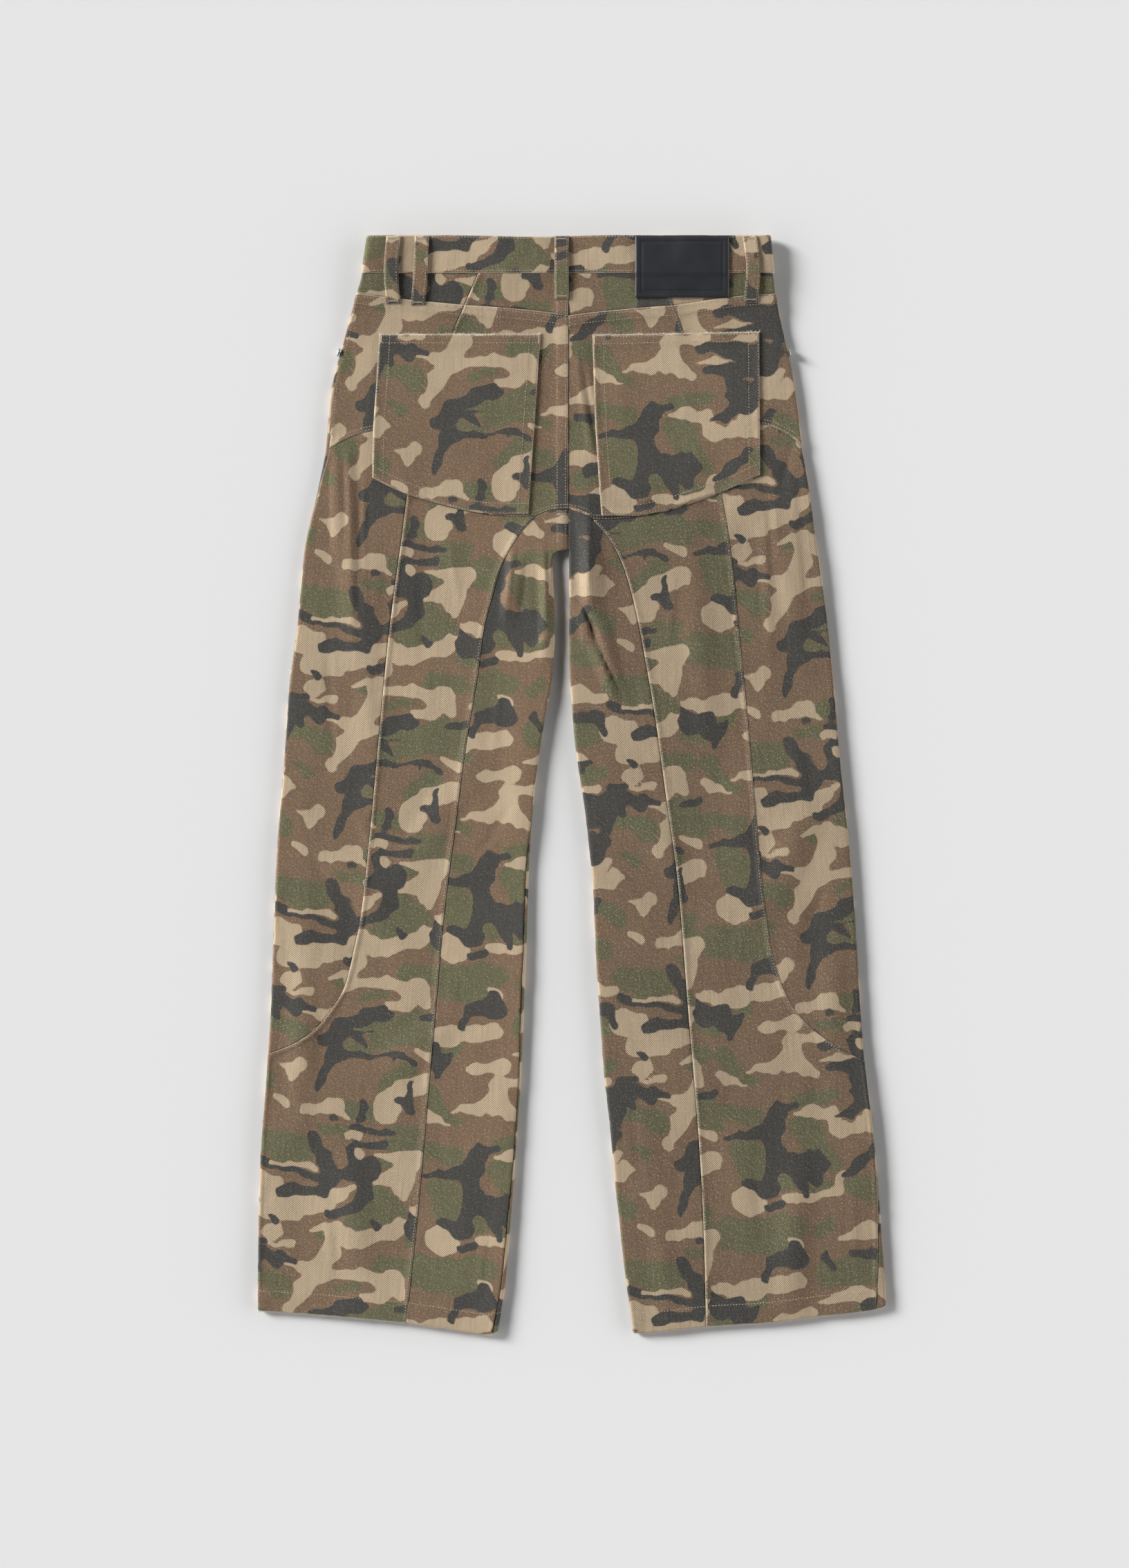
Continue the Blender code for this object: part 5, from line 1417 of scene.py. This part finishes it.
def evenPlaces(line, normals, pitch):
    # Centres, directions and normals at even steps of length along a line.
    run = lengthsAlong(line)
    count = int(run[-1] / (pitch * mm))
    if count < 1:
        return np.zeros((0, 3)), np.zeros((0, 3)), np.zeros((0, 3))
    at = (np.arange(count) + 0.5) * run[-1] / count
    ahead = readAt(at + 0.4 * mm, run, line)
    behind = readAt(at - 0.4 * mm, run, line)
    return readAt(at, run, line), unit(ahead - behind), unit(readAt(at, run, normals))


def sew(group, node, edge, far, downTo=1e4, downFrom=-1e4):
    line, normals, cloth = offsetLine(node, edge, far)
    keep = (cloth[:, 1] < downTo) & (cloth[:, 1] > downFrom)
    if keep.sum() > 2:
        sewn[group].append(evenPlaces(line[keep], normals[keep], stitch["pitch"]))


def tack(node, x, down, across, through, turned=0.0):
    # A bar tack: short threads side by side over a small bar, each one lying across it.
    count = max(4, round(across / 0.55))
    angle = math.radians(turned)
    spots = np.linspace(-across / 2, across / 2, count)
    px = x + spots * math.cos(angle)
    py = down + spots * math.sin(angle)
    centre, normal = layOn(node, px, py)
    direction = np.array([math.sin(angle) + 0.12, math.cos(angle), 0.0])
    direction = unit(np.cross(normal, np.cross(np.tile(direction, (count, 1)), normal)))
    sewn["tacks"].append((centre, direction, normal, np.full(count, through)))


def threadMesh(name, rows, material, lengths, seed):
    # Stitches as four-sided capsules: three rings and two end points each, sunk into the cloth at both ends.
    centre, direction, normal = (np.concatenate([row[i] for row in rows]) for i in range(3))
    rng = np.random.default_rng(seed)
    count = len(centre)
    turn = rng.normal(0, 0.07, count)[:, None]
    side = unit(np.cross(normal, direction))
    direction = unit(direction + side * turn)
    side = unit(np.cross(normal, direction))
    half = (lengths * rng.uniform(0.9, 1.08, count))[:, None, None] * mm / 2
    lengthwise = np.array([-1.0, -0.62, 0.0, 0.62, 1.0])
    thick = np.array([0.0, 0.82, 1.0, 0.82, 0.0])
    drop = -stitch["sink"] * lengthwise ** 4 * 2.2 + stitch["lift"]
    spin = np.array([0.0, 0.5, 1.0, 1.5]) * math.pi
    points = []
    for a, r, z in zip(lengthwise, thick, drop):
        middle = centre[:, None] + direction[:, None] * half * a + normal[:, None] * z * mm
        if r == 0:
            points.append(middle)
            continue
        ring = (side[:, None] * np.cos(spin)[None, :, None] * stitch["width"] / 2
                + normal[:, None] * np.sin(spin)[None, :, None] * stitch["height"] / 2)
        points.append(middle + ring * r * mm)
    points = np.concatenate(points, axis=1)
    points[..., 2] = np.maximum(points[..., 2], 0.0)
    triangles = []
    for k in range(4):
        n = (k + 1) % 4
        triangles.append((0, 1 + n, 1 + k))
        triangles.append((13, 9 + k, 9 + n))
        for ring in (1, 5):
            triangles.append((ring + k, ring + n, ring + 4 + n))
            triangles.append((ring + k, ring + 4 + n, ring + 4 + k))
    triangles = np.array(triangles)
    faces = (triangles[None] + 14 * np.arange(count)[:, None, None]).reshape(-1, 3)
    a, b, c = (points.reshape(-1, 3)[faces[:24, i]] for i in range(3))
    if np.sum((a - centre[0]) * np.cross(b - centre[0], c - centre[0])) < 0:
        faces = faces[:, ::-1]
    mesh = makeMesh(name, points, faces.tolist(), 80.0)
    setAttribute(mesh, "tone", np.repeat(rng.uniform(0, 0.8, count), 14))
    piece = addPiece(name, mesh, material)
    return piece


fray = {"perMm": 4.2, "longest": 3.2, "shortest": 0.6, "thickness": 0.24}


def frayed(name, edges, seed):
    # Loose fibre ends along worn edges: bent three-sided spikes of three rings, thickest at the cloth.
    rng = np.random.default_rng(seed)
    starts, outs, normals = [], [], []
    for node, edge, share in edges:
        line, normal, _ = offsetLine(node, edge, 0.05)
        deeper = offsetLine(node, edge, 1.5)[0]
        run = lengthsAlong(line)
        count = int(run[-1] / mm * fray["perMm"] * share)
        spots = np.clip(rng.normal(0, 1, 14) * 0.06 + np.linspace(0, 1, 14), 0, 1)
        loose = rng.uniform(size=count) < 0.45
        anywhere = rng.uniform(size=count)
        tufted = np.clip(spots[rng.integers(0, 14, count)] + rng.normal(0, 0.018, count), 0, 1)
        at = np.where(loose, anywhere, tufted) * run[-1]
        starts.append(readAt(at, run, line))
        normals.append(readAt(at, run, normal))
        outs.append(readAt(at, run, unit(line - deeper)))
    start, out, normal = (np.concatenate(group) for group in (starts, outs, normals))
    out = unit(out)
    normal = unit(normal)
    side = np.cross(normal, out)
    count = len(start)
    yaw = rng.normal(0, 0.75, count)[:, None]
    rise = rng.uniform(-0.15, 0.45, count)[:, None]
    longer = (fray["longest"] - fray["shortest"]) * rng.uniform(0, 1, count) ** 2.2
    long = (fray["shortest"] + longer)[:, None] * mm
    heading = unit(out * np.cos(yaw) + side * np.sin(yaw) + normal * rise)
    bend = side * rng.normal(0, 0.4, count)[:, None]
    width = fray["thickness"] * mm / 2
    points = []
    across = unit(np.cross(heading, normal))
    above = unit(np.cross(across, heading))
    for share, thick in ((-0.4, 1.0), (0.4, 0.8), (1.0, 0.35)):
        middle = start + heading * long * share + bend * long * share * abs(share) * 0.6
        for angle in (0, 2 * math.pi / 3, 4 * math.pi / 3):
            points.append(middle + (across * math.cos(angle) + above * math.sin(angle)) * width * thick)
    points = np.stack(points, axis=1)
    points[..., 2] = np.maximum(points[..., 2], 0.0)
    quads = [(r + k, r + (k + 1) % 3, r + 3 + (k + 1) % 3, r + 3 + k) for r in (0, 3) for k in range(3)]
    faces = (np.array(quads)[None] + 9 * np.arange(count)[:, None, None]).reshape(-1, 4)
    ends = np.array([(2, 1, 0), (6, 7, 8)])
    caps = (ends[None] + 9 * np.arange(count)[:, None, None]).reshape(-1, 3)
    mesh = makeMesh(name, points, faces.tolist() + caps.tolist(), 0)
    setAttribute(mesh, "tone", np.repeat(rng.uniform(0.3, 1.0, count), 9))
    piece = addPiece(name, mesh, threadCream)
    return piece


patch = {
    "out": (62.1, 154.2),
    "down": (0.8, 61.2),
    "wall": 1.9,
    "edgeFall": 0.9,
    "edgeWidth": 0.7,
    "border": 6.2,
    "borderWidth": 0.85,
    "borderDepth": 0.45,
    "sag": 0.25,
    "sagCell": 18.0,
    "step": 0.95,
}


def buildPatch():
    # The leather patch: a sheet laid over the waistband's lower edge, its rim rounded, with one plain pressed
    # line all round: a trough where the distance from the edge equals the border's.
    edgeSteps = np.array([0, 0.3, 0.8, 1.5])
    lines = []
    for low, high in (patch["out"], patch["down"]):
        between = np.linspace(low + 2, high - 2, round((high - low - 4) / patch["step"]))
        lines.append(np.concatenate([low + edgeSteps, between, high - edgeSteps[::-1]]))
    gridX, gridDown = np.meshgrid(*lines)
    ends = zip((gridX, gridDown), (patch["out"], patch["down"]))
    edge = np.minimum(*(np.minimum(grid - low, high - grid) for grid, (low, high) in ends))
    lining = laidAt(gridX, gridDown, raised(gridX, gridDown) + garment["lieGap"])
    face = lining + 0.0
    pressed = patch["borderDepth"] * fading(edge - patch["border"], patch["borderWidth"])
    sagging = patch["sag"] * noiseAt(gridX, gridDown, patch["sagCell"], 71)
    face[..., 2] += patch["wall"] - patch["edgeFall"] * fading(edge, patch["edgeWidth"]) - pressed + sagging
    piece = addPiece("leather_label", closedWall("leather_label", face * mm, lining * mm)[0], leather)
    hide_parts("leather_patch")
    grids["leather_patch"] = {"face": face * mm, "lining": lining * mm,
                              "cloth": np.stack([gridX, gridDown], axis=-1)}


def metalMaterial(name, dark, light, roughness):
    # Worn metal: two tones by a soft noise, with a finer one for the scratches.
    material, tree, shader = newMaterial(name, {"Metallic": 1.0})
    place = objectPlace(tree)
    tone = ramp(tree, speckle(tree, place, 420.0, 3.0, 0.6), 0.35, 0.65)
    tree.links.new(mixed(tree, tone, dark, light), shader.inputs["Base Color"])
    scratches = speckle(tree, stretched(tree, place, (3000.0, 500.0, 500.0)), 1.0, 3.0)
    worn = ramp(tree, scratches, 0.3, 0.7, roughness - 0.08, roughness + 0.12)
    tree.links.new(worn, shader.inputs["Roughness"])
    return material


brass = metalMaterial("aged_brass", (0.20, 0.155, 0.095, 1), (0.42, 0.35, 0.24, 1), 0.34)
steel = metalMaterial("dull_steel", (0.30, 0.31, 0.29, 1), (0.52, 0.53, 0.50, 1), 0.42)

# Turned profiles, from the middle of the back to the middle of the face: radius and height, in mm.
turnings = {
    "sides": 64,
    "button": table(
        "radius height",
        (0, -1.2), (7.4, -1.2), (8.2, -1.0), (8.5, -0.55), (8.45, -0.1), (8.1, 0.35), (7.5, 0.62),
        (6.9, 0.6), (6.5, 0.3), (6.1, 0.12), (5.2, 0.14), (3.8, 0.5), (2.2, 0.85), (1.6, 0.88), (1.3, 0.6),
        (0, 0.55)),
    "rivet": table(
        "radius height",
        (0, -0.8), (4.0, -0.8), (4.35, -0.6), (4.4, -0.25), (4.25, 0.15), (3.7, 0.5), (3.0, 0.66),
        (2.3, 0.6), (1.9, 0.3), (1.6, 0.28), (1.25, 0.62), (0.7, 0.78), (0, 0.8)),
}


def buildTurned(name, node, material, profile, axis):
    # A profile turned about its axis, with the two ends closed by fans on a middle point.
    low, high = (np.array(corner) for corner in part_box(node))
    axis = np.array(axis, float)
    first = unit(np.cross(axis, (0.3, 0.2, 1.0)) if abs(axis[2]) < 0.9 else np.cross(axis, (1.0, 0.2, 0.3)))
    second = np.cross(axis, first)
    count = turnings["sides"]
    angle = np.arange(count) * 2 * math.pi / count
    spokes = np.cos(angle)[:, None] * first + np.sin(angle)[:, None] * second
    radius = profile["radius"][1:-1, None, None] * mm
    rings = spokes[None] * radius + profile["height"][1:-1, None, None] * axis * mm
    ends = profile["height"][[0, -1], None] * axis * mm
    points = np.concatenate([rings.reshape(-1, 3), ends]) + (low + high) / 2
    number = np.arange(len(rings) * count).reshape(len(rings), count)
    ahead = np.roll(number, -1, axis=1)
    quads = np.stack([number[:-1], ahead[:-1], ahead[1:], number[1:]], axis=-1).reshape(-1, 4)
    back = np.stack([ahead[0], number[0], np.full(count, number.size)], axis=-1)
    front = np.stack([number[-1], ahead[-1], np.full(count, number.size + 1)], axis=-1)
    mesh = makeMesh(name, points, quads.tolist() + back.tolist() + front.tolist(), 50.0)
    piece = addPiece(name, mesh, material)
    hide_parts(node)


for half in (left, right):
    buildSide(half)
    buildPocket(half)
print("panels and pockets made")
buildWaistband()
for loopName in loopPlaces:
    buildLoop(loopName)
buildShield()
buildPatch()
buildTurned("turned_button", "waist_button", brass, turnings["button"], (0, 0, -1))
for half in (left, right):
    slope = np.diff(outerEdge(half, garment["rivetDown"] + np.array([-4.4, 4.4])))[0] / 8.8
    outwards = unit(np.array([half["sign"], slope, 0.0]))
    rivet = f"rivet_{half['label']}"
    buildTurned("turned_" + rivet, rivet, steel, turnings["rivet"], outwards)
print("waistband, loops, shield, patch and metal made")


# The rows of stitches on each half: the side, the nodes, their edges, and how far in from the edge in mm.
stitchedRows = (
    ("back", ("seat_outer",), ("top",), (2.7, 9.5)),
    ("back", ("seat_centre",), ("top",), (2.7, 9.5)),
    ("back", ("yoke_centre", "seat_centre", "mid_panel"), ("outer",), (1.8,)),
    ("back", ("mid_panel",), ("inner",), (1.8,)),
    ("back", ("seat_outer", "seat_centre"), ("bottom",), (1.5, 4.6)),
    ("back", ("back_pocket",), ("outer", "inner", "bottom"), (1.5, 10.5)),
    ("back", ("back_pocket",), ("top",), (2.0, 8.8)),
    ("back", ("mid_panel", "inner_panel"), ("bottom",), (20.0,)),
    ("front", ("front_panel",), ("bottom",), (20.0,)),
    ("front", ("front_panel",), ("outer",), (1.8, 7.6)),
)


def sewSide(side):
    # Every row of one half. Two edges are sewn only part of the way: to the knee's seam, and along the mouth.
    label = side["label"]
    stops = {"mid_panel outer": side["knee"]["down"][-1] - 5,
             "front_panel outer": frontPocket["mouthLower"]["down"][-1]}
    for group, nodes, edges, distances in stitchedRows:
        for far, node, edge in product(distances, nodes, edges):
            sew(group, f"{node}_{label}", edge, far, downTo=stops.get(f"{node} {edge}", 1e4))
    for edge, inwards in (("pocketOuter", -2), ("pocketInner", 2)):
        x = side["sign"] * (side[edge]["out"][0] + inwards)
        tack(f"back_pocket_{label}", x, side[edge]["down"][0] + 5.0, 7.0, 2.0, 90)


for half in (left, right):
    sewSide(half)
fly = {"rows": (38.0, 32.5), "start": 40.0, "turnsAt": 112.0, "turnHeight": 46.0}
for far in fly["rows"]:                        # the fly's curved rows on the front
    turn = np.linspace(0, math.pi / 2, 30)
    centreX = left["sign"] * left["centreOut"]
    turnDown = fly["turnsAt"] + far
    flyX = np.concatenate([np.full(40, centreX - far), centreX - far * np.cos(turn)])
    flyDown = np.concatenate([np.linspace(fly["start"], turnDown, 41)[:-1],
                              turnDown + fly["turnHeight"] * np.sin(turn)])
    line, normals = layOn("front_panel_left", flyX, flyDown)
    sewn["front"].append(evenPlaces(line, normals, stitch["pitch"]))
for far in (2.0, 7.5):
    sew("front", "front_panel_left", "inner", far, downFrom=200, downTo=300)
for far in (2.7, 10.9):
    sew("back", "yoke_centre_left", "inner", far)
    sew("back", "seat_centre_left", "inner", far)
    sew("back", "inner_panel_left", "inner", far, downTo=304)
sew("back", "seat_outer_left", "outer", 2.4)
sew("back", "waistband", "top", 2.0)
sew("back", "waistband", "bottom", 2.4)
for loopName, (xTop, _, xEnd, endDown) in loopPlaces.items():
    group = "front" if "front" in loopName else "back"
    for edge in ("outer", "inner"):
        sew(group, loopName, edge, 1.7)
    if group == "back":
        for x, down in ((xTop, 4.0), (xEnd, endDown - 2.6)):
            tack(loopName, x, down, loops["tackLength"], loops["tackWidth"])
tack("inner_panel_left", -10.0, 274.0, 8.5, 2.4)
tack("seat_outer_left", -236.0, 196.0, 7.0, 2.2, 70)
sew("patch", "leather_patch", "top", 2.2)
sew("patch", "leather_patch", "bottom", 2.2)
for group, rows in (("back", sewn["back"]), ("front", sewn["front"])):
    total = sum(len(row[0]) for row in rows)
    threadMesh(f"stitches_{group}", rows, threadTan, np.full(total, stitch["length"]), 51)
tackLengths = np.concatenate([row[3] for row in sewn["tacks"]])
threadMesh("bar_tacks", sewn["tacks"], threadTan, tackLengths, 52)
threadMesh("stitches_patch", sewn["patch"], threadNavy,
           np.full(sum(len(row[0]) for row in sewn["patch"]), stitch["length"]), 53)
frayed("frayed_pockets", [(f"back_pocket_{half['label']}", "top", 1.0) for half in (left, right)], 61)
frayed("frayed_hems", [(f"{node}_{half['label']}", "bottom", 0.55) for half in (left, right)
                       for node in ("mid_panel", "inner_panel", "front_panel")], 62)
print("stitches, bar tacks and frayed edges made")

# The stage: a plain pale floor, soft light from the upper left, and a camera straight above.
stage = {
    "floorGrey": 0.78,
    "sunStrength": 4.78,
    "sunAngle": 18.0,
    "sunTravels": (0.836, -0.408, -0.3665),    # from the left, a little from above, 21 degrees up
    "ringStrength": 4.75,
    "ringEnds": (0.25, 0.62),                  # sines of the heights where the low soft light fades out
    "ringFront": 0.05,                         # its share before and behind, against 1 at the two sides
    "overhead": 0.012,
    "floorHalf": 4.0,
    "cameraHeight": 3.0,                       # above the middle of the cloth's height
    "clothMiddle": 0.007,
    "sensorWidth": 36.0,
    "viewHeight": 1.5422,
    "viewX": -0.0073,
    "viewY": 0.0014,
}


def buildStage():
    half = stage["floorHalf"]
    corners = np.array([(-half, -half, 0), (half, -half, 0), (half, half, 0), (-half, half, 0)])
    mesh = makeMesh("floor", corners, [(0, 1, 2, 3)])
    floor = addObject("floor", mesh)
    grey = stage["floorGrey"]
    finish = {"Base Color": (grey, grey, grey, 1), "Roughness": 1.0, "Specular IOR Level": 0.0}
    mesh.materials.append(newMaterial("floor_paper", finish)[0])

    sun = bpy.data.lights.new("window", "SUN")
    sun.energy = stage["sunStrength"]
    sun.angle = math.radians(stage["sunAngle"])
    lamp = addObject("window", sun)
    lamp.rotation_euler = Vector(stage["sunTravels"]).to_track_quat("-Z", "Y").to_euler()
    world = bpy.data.worlds.new("studio")
    bpy.context.scene.world = world
    world.use_nodes = True
    tree = world.node_tree
    direction = tree.nodes.new("ShaderNodeTexCoord").outputs["Generated"]
    split = tree.nodes.new("ShaderNodeSeparateXYZ")
    tree.links.new(direction, split.inputs[0])
    low, high = stage["ringEnds"]
    ring = ramp(tree, split.outputs[2], low, high, stage["ringStrength"], 0.0)
    aside = calc(tree, "MULTIPLY", split.outputs[0], split.outputs[0])
    aside = calc(tree, "ADD", calc(tree, "MULTIPLY", aside, 1 - stage["ringFront"]), stage["ringFront"])
    strength = calc(tree, "ADD", calc(tree, "MULTIPLY", ring, aside), stage["overhead"])
    tree.links.new(strength, tree.nodes["Background"].inputs["Strength"])
    tree.nodes["Background"].inputs["Color"].default_value = (1, 1, 1, 1)

    lens = bpy.data.cameras.new("camera")
    lens.sensor_width = stage["sensorWidth"]
    lens.lens = stage["sensorWidth"] * stage["cameraHeight"] / stage["viewHeight"]
    camera = addObject("camera", lens)
    camera.location = (stage["viewX"], stage["viewY"], stage["cameraHeight"] + stage["clothMiddle"])
    bpy.context.scene.camera = camera
    bpy.context.scene.view_settings.view_transform = "Standard"


buildStage()
print("stage made")
